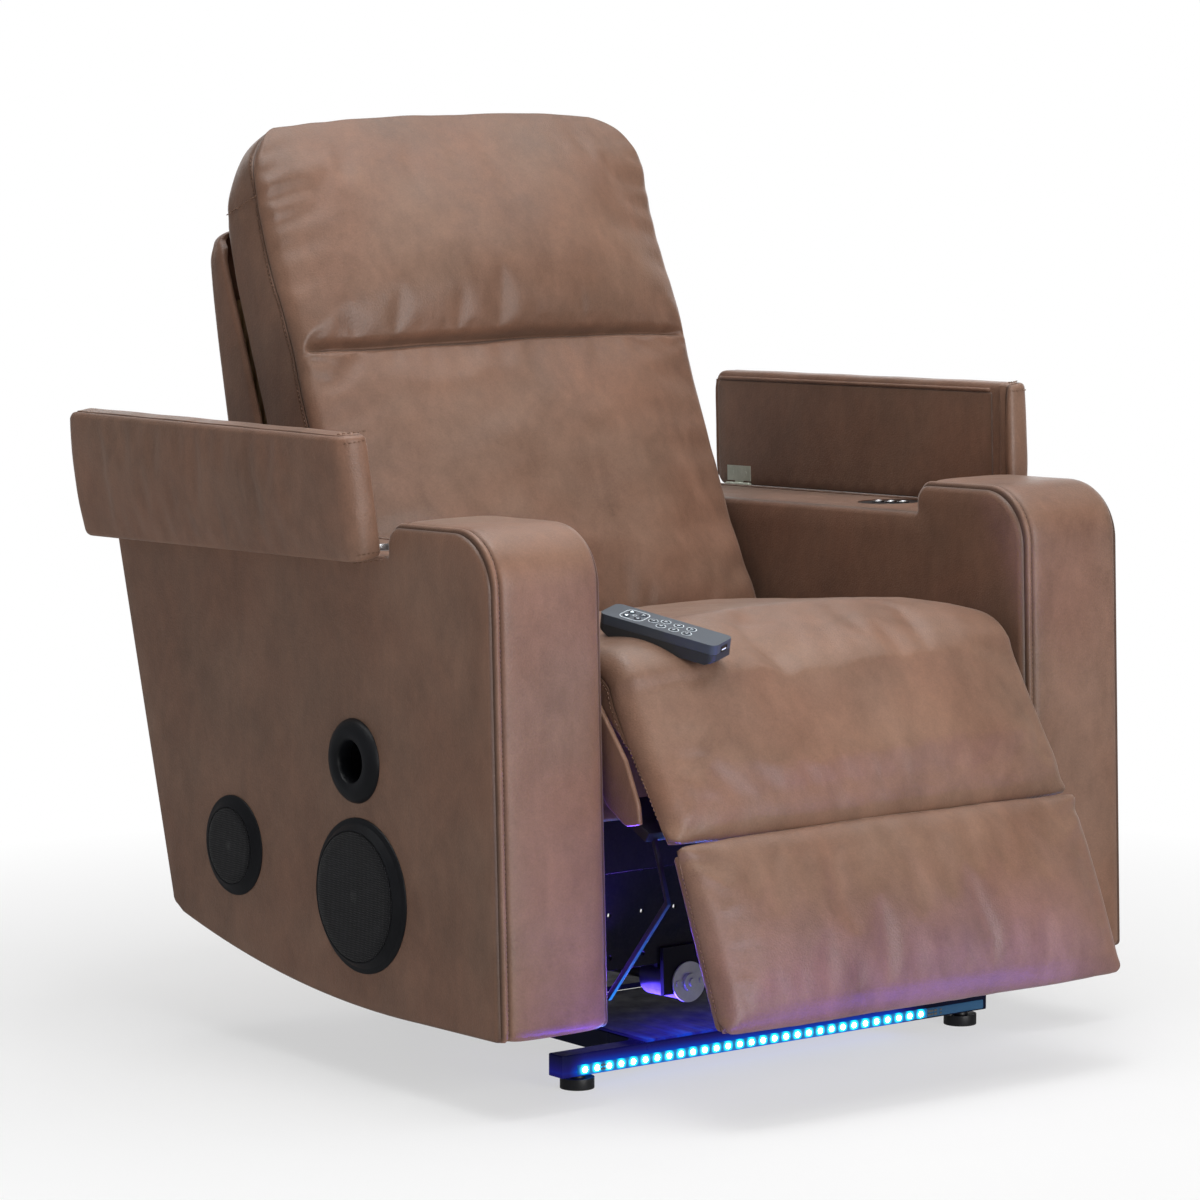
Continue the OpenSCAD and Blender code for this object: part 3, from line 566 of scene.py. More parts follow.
M = dict(
    bar=near_leds("front_bar_metal", (0.006, 0.008, 0.026), 0.030, 1.1, -0.20),
    pan=near_leds("front_pan_metal", (0.006, 0.006, 0.055), -0.16, 1.9, 0.0, rough=(0.38, 0.55), streak=1.0),
    flange=flange_metal("gear_motor_metal"),
    arms=arm_metal("linkage_metal"),
    leather=leather("leather_brown"),
    leather_obj=leather("leather_brown_object", "object", seam_shade=False),
    lining=lining("dust_cloth"),
    lining_obj=lining("dust_cloth_object", "object"),
    thread=thread("thread_brown", srgb(124, 92, 72)),
    steel=metal("black_steel", (0.035, 0.035, 0.042), (0.28, 0.46), 0.85),
    rail=metal("dark_rail", (0.020, 0.020, 0.024), (0.35, 0.55), 0.5),
    spring=metal("spring_steel", (0.42, 0.41, 0.40), (0.25, 0.4)),
    hinge=metal("hinge_plate", srgb(206, 210, 196), (0.38, 0.55), 0.55, tint=srgb(170, 176, 160)),
    screw=metal("screw_steel", (0.55, 0.55, 0.55), (0.2, 0.35)),
    motor=metal("motor_metal", (0.06, 0.06, 0.068), (0.3, 0.46), 0.85),
    cup=metal("cup_steel", (0.60, 0.60, 0.61), (0.18, 0.32)),
    chrome=metal("button_chrome", (0.80, 0.81, 0.83), (0.08, 0.16)),
    nut=plastic("nut_plastic", srgb(214, 210, 196), (0.4, 0.5)),
    black=plastic("black_plastic", srgb(22, 23, 26), (0.38, 0.52)),
    gloss=plastic("black_gloss", srgb(12, 12, 14), (0.12, 0.2), coat=0.5),
    ring=plastic("speaker_ring", (0.0052, 0.0058, 0.0082), (0.36, 0.50), scale=500, bump=0.00015, coat=0.03, spec=0.4),
    grille=grille("grille_cloth"),
    wood=wood("frame_wood"),
    hs_top=plastic("handset_grey", srgb(58, 66, 76), (0.28, 0.38), scale=900, bump=0.00008, coat=0.2),
    hs_bot=plastic("handset_dark", srgb(44, 48, 51), (0.32, 0.44), scale=700, bump=0.00012),
    hs_key=plastic("handset_key", srgb(34, 44, 56), (0.2, 0.3), scale=900, bump=0.00006, coat=0.3),
    white=plastic("white_mark", srgb(216, 224, 230), (0.35, 0.45)),
    led=emitter("led_core", (0.75, 0.97, 1.0), 26.0),
    hot=emitter("key_light", (0.8, 0.95, 1.0), 2.4),
)


def dress(ob, body, replaces=(), rest=True):
    """Store each point's place at rest, so that the grain stays on the leather when it bends, and ride the body."""
    if rest:
        me = ob.data
        co = np.zeros(len(me.vertices) * 3, np.float32)
        me.vertices.foreach_get("co", co)
        at = me.attributes.get("rest") or me.attributes.new("rest", "FLOAT_VECTOR", "POINT")
        at.data.foreach_set("vector", co)
    if body:
        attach(ob, body)
    if replaces:
        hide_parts(*replaces)
    return ob


# ------------------------------------------------------------------ stitching
def stitches(name, runs, body, to=leaned, pitch=5.2, length=3.8, r=0.72, mat=None, lift=0.35, blend=None):
    """Rows of short raised stitches. Each run is (points, normals) in chair millimetres."""
    V, F = [], []
    k = 6
    prof = [(-0.5, 0.45, -0.5), (-0.3, 0.95, 0.25), (0.0, 1.0, 0.45), (0.3, 0.95, 0.25), (0.5, 0.45, -0.5)]
    for P, Nn in runs:
        P, Nn = np.asarray(P, float), np.asarray(Nn, float)
        d = np.r_[0, np.cumsum(np.linalg.norm(np.diff(P, axis=0), axis=1))]
        cnt = int(d[-1] / pitch)
        if cnt < 1:
            continue
        at = (np.arange(cnt) + 0.5) * d[-1] / cnt
        C = np.stack([np.interp(at, d, P[:, i]) for i in range(3)], -1)
        A = np.stack([np.interp(at - 1, d, P[:, i]) for i in range(3)], -1)
        B = np.stack([np.interp(at + 1, d, P[:, i]) for i in range(3)], -1)
        T = B - A
        T /= np.maximum(np.linalg.norm(T, axis=1, keepdims=True), 1e-9)
        N = np.stack([np.interp(at, d, Nn[:, i]) for i in range(3)], -1)
        N -= T * (N * T).sum(1, keepdims=True)
        N /= np.maximum(np.linalg.norm(N, axis=1, keepdims=True), 1e-9)
        S = np.cross(T, N)
        for c, t, n, s in zip(C, T, N, S):
            b = len(V)
            for (a, rr, h) in prof:
                o = c + t * (a * length) + n * (h * r + lift)
                for j in range(k):
                    q = 2 * math.pi * j / k
                    V.append(o + r * rr * (s * math.cos(q) + n * math.sin(q)))
            for i in range(len(prof) - 1):
                for j in range(k):
                    F.append((b + i * k + j, b + i * k + (j + 1) % k, b + (i + 1) * k + (j + 1) % k, b + (i + 1) * k + j))
            F.append(tuple(b + j for j in range(k))[::-1])
            F.append(tuple(b + (len(prof) - 1) * k + j for j in range(k)))
    ob = mk(name, np.array(V), F, to=to, mat=mat or M["thread"])
    outward(ob)
    if blend:
        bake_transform(ob)
    else:
        dress(ob, body, rest=False)
    return ob


# ------------------------------------------------------------------ flat upholstered panels
def poly_dist(P, Q):
    """Distance of points Q to closed polyline P."""
    A, B = P, np.roll(P, -1, 0)
    best = np.full(len(Q), 1e9)
    for a, b in zip(A, B):
        ab = b - a
        t = np.clip(((Q - a) @ ab) / max(ab @ ab, 1e-12), 0, 1)
        best = np.minimum(best, np.linalg.norm(Q - (a + t[:, None] * ab), axis=1))
    return best


def inside(P, Q):
    x, y = Q[:, 0], Q[:, 1]
    c = np.zeros(len(Q), bool)
    A, B = P, np.roll(P, -1, 0)
    for (x1, y1), (x2, y2) in zip(A, B):
        if y1 == y2:
            continue
        m = ((y1 > y) != (y2 > y)) & (x < (x2 - x1) * (y - y1) / (y2 - y1) + x1)
        c ^= m
    return c


def inset(P, d):
    """Closed counter-clockwise polyline moved inward by d."""
    t1 = P - np.roll(P, 1, 0)
    t2 = np.roll(P, -1, 0) - P
    t1 /= np.maximum(np.linalg.norm(t1, axis=1, keepdims=True), 1e-9)
    t2 /= np.maximum(np.linalg.norm(t2, axis=1, keepdims=True), 1e-9)
    n1 = np.stack([-t1[:, 1], t1[:, 0]], 1)
    n2 = np.stack([-t2[:, 1], t2[:, 0]], 1)
    n = n1 + n2
    n /= np.maximum(np.linalg.norm(n, axis=1, keepdims=True), 1e-9)
    return P + n * (d / np.maximum((n * n1).sum(1), 0.5))[:, None]


def ccw(P):
    a = 0.5 * np.sum(P[:, 0] * np.roll(P[:, 1], -1) - np.roll(P[:, 0], -1) * P[:, 1])
    return P if a > 0 else P[::-1]


def panel(name, outline, holes, x_face, x_back, r, crown=1.0, step=16.0, mat=None, to=leaned, seam_shade_w=0.0, grid=22.0):
    """A flat padded panel in the y-z plane: rounded edge of radius r, slight crown, holes, closed back."""
    P = ccw(np.asarray(outline, float))
    d = np.linalg.norm(np.roll(P, -1, 0) - P, axis=1)
    pts = []
    for i in range(len(P)):
        k = max(1, int(d[i] // step))
        for j in range(k):
            pts.append(P[i] + (np.roll(P, -1, 0)[i] - P[i]) * j / k)
    P = np.array(pts)
    rings = [P] + [inset(P, r * q) for q in (0.12, 0.4, 1.0)]
    H = [arc(c[0], c[1], c[2], 0, 360, 40)[:-1] if np.ndim(c) == 1 else ccw(np.asarray(c, float)) for c in holes]
    verts, edges = [], []
    for ring in rings + H:
        b = len(verts)
        n = len(ring)
        verts += [tuple(p) for p in ring]
        edges += [(b + i, b + (i + 1) % n) for i in range(n)]
    lo, hi = P.min(0), P.max(0)
    gx, gy = np.meshgrid(np.arange(lo[0], hi[0], grid), np.arange(lo[1], hi[1], grid * 0.87))
    gx[1::2] += grid / 2
    G = np.stack([gx.ravel(), gy.ravel()], -1)
    ok = inside(P, G) & (poly_dist(P, G) > r + grid * 0.35)
    for h, c in zip(H, holes):
        ok &= ~inside(h, G) & (poly_dist(h, G) > grid * 0.3)
    verts += [tuple(p) for p in G[ok]]
    V, _, F, *_ = delaunay_2d_cdt([Vector(p) for p in verts], edges, [], 0, 1e-4)
    V = np.array([[p.x, p.y] for p in V])
    F = np.array(F)
    C = V[F].mean(1)
    keep = inside(P, C)
    for h in H:
        keep &= ~inside(h, C)
    F = F[keep]
    dist = poly_dist(P, V)
    dist[dist < 1e-3] = 0
    e = np.clip(dist / r, 0, 1)
    h = r * (1 - np.sqrt(np.maximum(0, 1 - (1 - e) ** 2)))
    s = 1 if x_face > x_back else -1
    X = x_face - s * h * 1.0 + s * crown * (1 - np.exp(-np.maximum(dist - r, 0) / 50))
    front = np.stack([X, V[:, 0], V[:, 1]], -1)
    back = np.stack([np.full(len(V), x_back), V[:, 0], V[:, 1]], -1)
    n = len(V)
    faces = F.tolist() + (F[:, ::-1] + n).tolist()
    cnt = {}
    for f in F:
        for a, b in ((f[0], f[1]), (f[1], f[2]), (f[2], f[0])):
            cnt[(a, b)] = cnt.get((a, b), 0) + 1
    for (a, b) in list(cnt):
        if (b, a) not in cnt:
            faces.append((b, a, a + n, b + n))
    # painted shade along the panel's sewn outline, darkest at the very edge
    seam_shade = np.r_[np.exp(-((dist / 2.2) ** 2)) * seam_shade_w, np.zeros(n)]
    edge = np.r_[gauss(dist, r * 0.6, r * 0.55) * 0.5, np.zeros(n)]
    ob = mk(name, np.vstack([front, back]), faces, to=to, mat=mat or M["leather"], attrs=dict(seam_shade=seam_shade, edge=edge))
    outward(ob)
    sharp(ob, 50)
    return ob


def outnormal(path, sign):
    T = tangents(path)
    N = np.stack([-T[:, 1], T[:, 0]], -1) * sign
    return N


def band(name, path, xs, hs, seams=(), base=-9.0, sign=1, mat=None, to=leaned, wav=0.0, seed=1, ends=6.0, taper=True):
    """A strip of leather over a path (y, z): cross-section heights hs at places xs, closed by an inner face at height base."""
    path = np.asarray(path, float)
    N = outnormal(path, sign)
    xs, hs = np.asarray(xs, float), np.asarray(hs, float)
    s = np.r_[0, np.cumsum(np.linalg.norm(np.diff(path, axis=0), axis=1))]
    m = len(path)
    loops = []
    for i in range(m):
        h = hs + wobble(xs, s[i], seed, 90, wav)
        e = 0.0
        if ends:
            q = min(s[i], s[-1] - s[i])
            e = -ends * (1 - math.sqrt(max(0, 1 - (1 - min(q / ends, 1)) ** 2))) * 0.8 if q < ends else 0.0
        p = path[i][None, :] + N[i][None, :] * (h + e)[:, None]
        inner = path[i][None, :] + N[i][None, :] * np.full((2, 1), base)
        up = np.column_stack([xs, p])
        lowr = np.column_stack([[xs[-1] - 1.5, xs[0] + 1.5], inner])
        loops.append(np.vstack([up, lowr]))
    G = np.array(loops)
    n = G.shape[1]
    # painted shade along each listed seam line
    sm = np.zeros(n)
    for c, w, a in seams:
        sm[: len(xs)] = np.maximum(sm[: len(xs)], a * np.exp(-(((xs - c) / w) ** 2)))
    edge = np.zeros(n)
    edge[: len(xs)] = gauss(hs, hs.max(), 3) * 0.0
    ob = loft(name, G, to=to, mat=mat or M["leather"], attrs=dict(seam_shade=np.tile(sm, m), edge=np.tile(edge, m)))
    sharp(ob, 60)
    return ob, N


# ------------------------------------------------------------------ arms
HALF_W, INNER_X, ARM_TOP, SHELF_Z, STEP_Y, FRONT = 450.0, 300.0, 612.0, 576.0, -265.0, -450.0
REAR_LOW, REAR_HIGH = np.array([186.0, 145.0]), np.array([284.0, 576.0])


def arm_outline(front_in=0.0, top_in=0.0):
    """The arm's side outline from the front bottom corner, clockwise seen from the sitter's left, as in the CAD."""
    f, t = FRONT + front_in, ARM_TOP - top_in
    br, bc = 1621.0, np.array([-300.0, 72.0 + 1621.0])
    ba = math.degrees(math.asin((REAR_LOW[0] + 300) / br))
    belly = [[bc[0] + br * math.sin(math.radians(a)), bc[1] - br * math.cos(math.radians(a))] for a in np.linspace(ba, 0, 25)[1:]]
    return np.vstack([
        arc(f + 6, 76, 6, 270, 180, 5),
        arc(f + 63 - top_in * 0.0, t - 63, 63, 180, 90, 22),
        arc(STEP_Y - 18, t - 18, 18, 90, 0, 9),
        arc(STEP_Y + 4, SHELF_Z + 4, 4, 180, 270, 4),
        arc(REAR_HIGH[0] - 10, REAR_HIGH[1] - 10, 10, 90, 12, 6),
        arc(REAR_LOW[0] - 13, REAR_LOW[1] + 16, 14, 0, -72, 7),
        np.array(belly)])


WOOFER, MID, PORT = (-201.0, 201.0), (50.0, 231.0), (-195.0, 349.0)
SPK = [(*WOOFER, 70), (*MID, 45), (*PORT, 33)]


def build_arm(side, tag):
    """side -1 is the sitter's right. Everything is written for x below zero and mirrored for the other arm."""
    to = leaned if side < 0 else mirrored(leaned)
    skin = panel(f"arm_{tag}_outer_leather", arm_outline(4.2, 4.2), SPK, -HALF_W, -HALF_W + 15.6, 5.0, crown=0.9, to=to, seam_shade_w=0.9)
    dress(skin, "body", replaces=[f"arm_{tag}_side_panel"])
    inner = panel(f"arm_{tag}_inner_leather", arm_outline(4.2, 4.2), [], -INNER_X + 0.4, -INNER_X - 15.6, 7.0, crown=-0.4, to=to, seam_shade_w=0.9)
    dress(inner, "body", replaces=[f"arm_{tag}_carcass"])
    # the waterfall strip over the front and top of the raised block
    path = np.vstack([
        [[-418, 70.0], [-428, 70.0]],
        arc(FRONT + 7, 77, 7, 270, 180, 6),
        np.column_stack([np.full(30, FRONT), np.linspace(95, ARM_TOP - 66, 30)]),
        arc(FRONT + 63, ARM_TOP - 63, 63, 180, 90, 26),
        np.column_stack([np.linspace(FRONT + 70, STEP_Y - 26, 14), np.full(14, ARM_TOP)]),
        arc(STEP_Y - 18, ARM_TOP - 18, 18, 90, 0, 10),
        [[STEP_Y, 590.0], [STEP_Y, 582.0], [STEP_Y, 577.2]]])
    path = resample(path, 7.0)
    e = np.array([0, 0.5, 1.4, 2.6, 4.0, 5.6, 7.2, 8.4, 9.2, 10.0, 11.0, 12.6, 15, 19, 26, 36, 50])
    hh = np.array([-7.0, -3.6, -1.0, 0.7, 1.6, 1.8, 1.2, 0.0, -1.7, -2.4, -1.5, 0.2, 1.3, 2.1, 2.7, 3.1, 3.3])
    x0, x1 = -445.6, -304.4
    w = (x1 - x0) / 2
    xs = np.r_[x0 + e, x0 + w, (x1 - e)[::-1]]
    soft = np.array([-7.0, -5.2, -3.5, -2.3, -1.3, -0.5, 0.1, 0.5, 0.8, 1.0, 1.3, 1.7, 2.1, 2.5, 2.9, 3.2, 3.3])
    hs = np.r_[hh, 3.35, soft[::-1]] if side < 0 else np.r_[soft, 3.35, hh[::-1]]
    hs = hs - 1.2
    strip, N = band(f"arm_{tag}_front_leather", path, xs, hs, seams=[(x0 + 0.4, 1.6, 1.0 if side < 0 else 0.5), (x1 - 0.4, 1.6, 0.5 if side < 0 else 1.0), (x0 + 9.8 if side < 0 else x1 - 9.8, 1.5, 0.95)], wav=0.12, seed=11 + side, to=to, base=-14)
    dress(strip, "body", replaces=[f"arm_{tag}_front_cap"])
    runs = []
    for xx in ((x0 + 9.6) if side < 0 else (x1 - 9.6),):
        P = np.column_stack([np.full(len(path), xx), path + N * (-3.3)])
        runs.append((P[4:-3], np.column_stack([np.zeros(len(path)), N])[4:-3]))
    stitches(f"arm_{tag}_front_stitching", runs, "body", to=to)
    # shelf leather: a board-wrap between the two panels, with the openings of the cup well or control plate
    hole = [(-375.0, -160.0, 43.2)] if side < 0 else [(-391.0, -114.0, 40.2)]
    shelf = shelf_sheet(f"arm_{tag}_shelf_leather", hole, to)
    dress(shelf, "body", replaces=[f"arm_{tag}_shelf"])
    # a soft welt in the corner under the lid's hinge line
    yy = np.linspace(STEP_Y + 9, 282, 60)
    wt = tube(f"arm_{tag}_hinge_welt", np.column_stack([np.full(60, -445.6), yy, np.full(60, 572.8)]), 3.5, to, M["leather"], k=12)
    dress(wt, "body")
    # rear strip down the sloping back edge and the dust cloth under the arm
    rp = np.vstack([[[252.0, 575.4], [262.0, 575.4]], arc(274, 566, 9.6, 84, 14, 6), np.linspace(REAR_HIGH + [-0.6, -22], REAR_LOW + [0.2, 22], 30), arc(173, 161, 13.6, -8, -66, 5), [[165.0, 146.2], [151.0, 143.0]]])
    rp = resample(rp, 9.0)
    xs2 = np.array([-436, -434.5, -432, -428, -420, -400, -375, -350, -330, -322, -318, -315.5, -314.0])
    hs2 = np.array([-5, -1.6, -0.2, 0.3, 0.6, 0.9, 1.0, 0.9, 0.6, 0.3, -0.2, -1.6, -5.0])
    rear, _ = band(f"arm_{tag}_rear_leather", rp, xs2, hs2 - 0.4, seams=[(-435.5, 2, 0.8), (-314.5, 2, 0.8)], wav=0.25, seed=5, base=-12, to=to)
    dress(rear, "body")
    bl = arm_outline()[-26:]
    low = bl[(bl[:, 0] < 150) & (bl[:, 0] > -425)]
    low = np.vstack([[-425.0, 71.0], low[np.argsort(low[:, 0])]])
    low = resample(low + [0, 2.6], 24)
    dc, _ = band(f"arm_{tag}_dust_cloth", low, np.array([-434.5, -430, -410, -390, -375, -360, -340, -320, -315.5]), np.array([0, 0.4, -1.4, -2.0, -2.2, -2.0, -1.4, 0.4, 0.0]), sign=-1, base=-3.0, wav=0.5, seed=3, mat=M["lining"], to=to)
    dress(dc, "body")


def shelf_sheet(name, holes, to):
    """Horizontal leather-covered board: x across, y along. Built as a flat panel and laid down."""
    def lay(p):
        p = np.asarray(p, float)
        return to(np.stack([p[..., 1], p[..., 2], p[..., 0]], -1))

    x0, x1, y0, y1 = -434.4, -315.6, STEP_Y + 0.6, 258.0
    out = np.vstack([arc(x1 - 2, y1 - 2, 2, 0, 90, 2), arc(x0 + 2, y1 - 2, 2, 90, 180, 2), arc(x0 + 2, y0 + 2, 2, 180, 270, 2), arc(x1 - 2, y0 + 2, 2, 270, 360, 2)])
    return panel(name, out, holes, SHELF_Z - 0.6, SHELF_Z - 15, 2.6, crown=0.5, to=lay, seam_shade_w=1.0, grid=14)


# ------------------------------------------------------------------ cushions
def crease(x, v, x0, v0, x1, v1, depth, w):
    """A soft fold from (x0, v0), where it is deepest, fading out towards (x1, v1)."""
    d = np.array([x1 - x0, v1 - v0], float)
    L = np.hypot(*d)
    d /= L
    a = ((x - x0) * d[0] + (v - v0) * d[1]) / L
    b = -(x - x0) * d[1] + (v - v0) * d[0]
    fade = np.clip(1 - np.clip(a, 0, 1), 0, 1) ** 1.2 * np.where(a < 0, np.exp(-((a / 0.12) ** 2)), 1)
    ww = w * (1 + 0.9 * np.clip(a, 0, 1))
    return depth * fade * (np.exp(-((b / ww) ** 2)) - 0.55 * np.exp(-(((b - 1.7 * ww) / ww) ** 2)) * 0.8)


def cushion(name, F, Nf, B, W, height, r, lat=None, mat=None, to=leaned, step=7.0, side_extra=(), seam_d=2.0, stitch_d=6.4, seam_shade_amt=0.9, side_bulge=4.0, nback=14, vcoord=None, capr=True, side_wave=None, front_seam=0.0):
    """A sewn box cushion. F, Nf, B are the front edge line, its outward normals and the matching back line, (y, z) each;
    W the half widths; height(x, u, i) the front's height over its edge line; r the edge radius per row.
    Returns the object and what the stitches need."""
    m = len(F)
    r = np.broadcast_to(np.asarray(r, float), (m,))
    Wm = W.max()
    nmid = int(round(Wm / step))
    th = np.radians(np.array([15, 30, 45, 58, 70, 80, 90.0]))
    s = np.r_[0, np.cumsum(np.linalg.norm(np.diff(F, axis=0), axis=1))]
    dabs = np.array([0.8, 1.4, 2.0, 2.6, 3.4, 4.6, 5.6, 6.4, 7.2, 8.6, 11.0, 15.0, 21.0])
    loops, seam_shade_rows, edgeA = [], [], []
    left, right = [], []
    for i in range(m):
        w, ri = W[i], r[i]
        if front_seam:
            half = np.r_[np.linspace(0, w - ri - 5.5, nmid - 3), w - ri - 3.4, w - ri - 2.1, w - ri - 1.1, w - ri - 0.2, w - ri + ri * np.sin(th)]
        else:
            half = np.r_[np.linspace(0, w - ri, nmid + 1), w - ri + ri * np.sin(th)]
        xs = np.r_[-half[:0:-1], half]
        ax = np.abs(xs)
        u = xs / w
        q = np.clip((ax - (w - ri)) / ri, 0, 1)
        drop = ri * (1 - np.sqrt(np.maximum(0, 1 - q**2)))
        h = height(xs, u, i) * (1 - q**2) - drop
        fs = np.exp(-(((ax - (w - ri - 1.6)) / 1.1) ** 2)) * min(1.0, ri / 6.0) if front_seam else 0 * ax
        h = h - front_seam * fs + 0.5 * front_seam * (np.exp(-(((ax - (w - ri - 4.4)) / 1.6) ** 2)) if front_seam else 0)
        f = F[i][None, :] + Nf[i][None, :] * h[:, None]
        front = np.column_stack([xs, f])
        e = F[i] - Nf[i] * ri
        D = np.linalg.norm(B[i] - e)
        dd = np.r_[dabs[dabs < D * 0.6], np.linspace(0.0, 1.0, 8)[1:] * 0]
        kd = len(dabs) + 7
        base = np.minimum(dabs, D * 0.5 * dabs / dabs[-1]) if D < 44 else dabs
        rest = base[-1] + (D - base[-1]) * (np.arange(1, 8) / 7.0)
        dd = np.r_[base, rest]
        lt = -1.9 * np.exp(-(((dd - seam_d) / 0.9) ** 2)) - 0.8 * np.exp(-(((dd - stitch_d) / 1.0) ** 2)) + 0.5 * np.exp(-(((dd - 4.1) / 1.0) ** 2))
        lt = lt * min(1.0, D / 30)
        bul = side_bulge * np.sin(np.pi * np.clip((dd - seam_d) / max(D - seam_d, 1), 0, 1)) ** 0.8 * min(1, D / 60)
        if lat is not None:
            bul = bul + lat(dd, D, i)
        dirb = (B[i] - e) / max(D, 1e-6)
        sp = e[None, :] + dirb[None, :] * dd[:, None]
        rs = np.column_stack([w + lt + bul, sp])
        wv = side_wave(dd, D, i, 1) if side_wave is not None else 0
        wl = side_wave(dd, D, i, -1) if side_wave is not None else 0
        rs[:, 0] += wv
        ls = np.column_stack([-(w + lt + bul + wl), sp])[::-1]
        wb = rs[-1, 0]
        wb2 = -ls[0, 0]
        bx = np.linspace(wb, -wb2, nback + 2)[1:-1]
        back = np.column_stack([bx, np.tile(B[i], (nback, 1))])
        loop = np.vstack([front, rs, back, ls])
        loops.append(loop)
        sa = np.zeros(len(loop))
        ea = np.zeros(len(loop))
        nf = len(front)
        # painted shade along the boxing seam, the stitch line and the front seam
        sv = np.maximum(np.exp(-(((dd - seam_d) / 1.1) ** 2)) * seam_shade_amt, np.exp(-(((dd - stitch_d) / 1.1) ** 2)) * 0.6)
        sa[nf : nf + len(dd)] = sv
        sa[-len(dd):] = sv[::-1]
        ea[:nf] = np.where(q > 0.75, (q - 0.75) * 2.0, 0) if not front_seam else 0
        sa[:nf] = fs
        seam_shade_rows.append(sa)
        edgeA.append(ea)
        k = int(np.argmin(abs(dd - stitch_d)))
        right.append((rs[k], Nf[i]))
        left.append((ls[::-1][k], Nf[i]))
    G = np.array(loops)
    ob = loft(name, G, to=to, mat=mat or M["leather"], attrs=dict(seam_shade=np.array(seam_shade_rows), edge=np.array(edgeA)))
    return ob, s, right, left


def puff(ob, pressure=4.0, cap=26.0, frames=20, pin=None, shrink=-0.007, stiff=14.0, bend=6.0, keep=0.0):
    """Cloth with inner pressure over the finished form: it swells and wrinkles between its pinned seams.
    No gravity; each point is held within cap millimetres of where it began."""
    sc = bpy.context.scene
    me = ob.data
    n = len(me.vertices)
    co0 = np.zeros(n * 3)
    me.vertices.foreach_get("co", co0)
    co0 = co0.reshape(-1, 3)
    if pin is not None:
        vg = ob.vertex_groups.new(name="pin")
        for wv in np.unique(np.round(pin, 2)):
            if wv > 0:
                vg.add([int(i) for i in np.nonzero(np.abs(np.round(pin, 2) - wv) < 1e-6)[0]], float(wv), "REPLACE")
    md = ob.modifiers.new("cloth", "CLOTH")
    st = md.settings
    st.quality = 5
    st.mass = 0.35
    st.tension_stiffness = st.compression_stiffness = stiff
    st.shear_stiffness = stiff * 0.6
    st.bending_stiffness = bend
    st.tension_damping = st.compression_damping = 8
    st.shear_damping = 8
    st.bending_damping = 1.0
    st.air_damping = 3.0
    st.use_pressure = True
    st.uniform_pressure_force = pressure
    st.shrink_min = shrink
    st.effector_weights.gravity = 0
    if pin is not None:
        st.vertex_group_mass = "pin"
        st.pin_stiffness = 1.0
    md.collision_settings.use_collision = False
    md.collision_settings.use_self_collision = False
    md.point_cache.frame_start = 1
    md.point_cache.frame_end = frames
    for f in range(1, frames + 1):
        sc.frame_set(f)
    dg = bpy.context.evaluated_depsgraph_get()
    ev = ob.evaluated_get(dg)
    em = ev.to_mesh()
    co = np.zeros(n * 3)
    em.vertices.foreach_get("co", co)
    co = co.reshape(-1, 3)
    ev.to_mesh_clear()
    ob.modifiers.remove(md)
    d = co - co0
    L = np.linalg.norm(d, axis=1, keepdims=True)
    d *= np.minimum(1.0, cap / 1000 / np.maximum(L, 1e-9))
    if pin is not None:
        d *= (1 - np.clip(pin, 0, 1))[:, None]
    me.vertices.foreach_set("co", (co0 + d * (1 - keep)).ravel())
    me.update()
    if ob.vertex_groups:
        ob.vertex_groups.clear()
    sc.frame_set(1)
    print("puffed", ob.name, "mean move mm", round(float(L.mean() * 1000), 2), "max", round(float(L.max() * 1000), 1))
    return ob


H1, H2 = np.array([-404.0, 409.0]), np.array([-536.0, 271.0])
A1, A2 = math.radians(31.5), math.radians(20.8)
U1, N1 = np.array([math.sin(A1), math.cos(A1)]), np.array([-math.cos(A1), math.sin(A1)])
V2, N2 = np.array([-math.sin(A2), -math.cos(A2)]), np.array([-math.cos(A2), math.sin(A2)])
on1 = lambda u, n: H2 + u * U1 + n * N1
on2 = lambda v, n: H2 + v * V2 + n * N2


def path_normals(P, toward):
    T = tangents(P)
    N = np.stack([-T[:, 1], T[:, 0]], -1)
    if np.mean((N * toward).sum(1)) < 0:
        N = -N
    return N


def spaced(P, n, centre, fine=2.2, near=16.0, far=9.0):
    """Resample a smooth path with close rows near an arc length found at height centre."""
    Q = smooth_path(P, n)
    s = np.r_[0, np.cumsum(np.linalg.norm(np.diff(Q, axis=0), axis=1))]
    s0 = s[int(np.argmin(abs(Q[:, 1] - centre)))]
    at, d = [0.0], 0.0
    while at[-1] < s[-1] - 1e-6:
        x = abs(at[-1] - s0)
        st = fine + (far - fine) * float(sstep(near * 0.6, near * 2.6, x))
        if s[-1] - at[-1] < 34:
            st = min(st, 4.5)
        at.append(min(at[-1] + st, s[-1]))
    if at[-1] - at[-2] < 1.0:
        at.pop(-2)
    at = np.array(at)
    return np.stack([np.interp(at, s, Q[:, k]) for k in range(2)], -1)


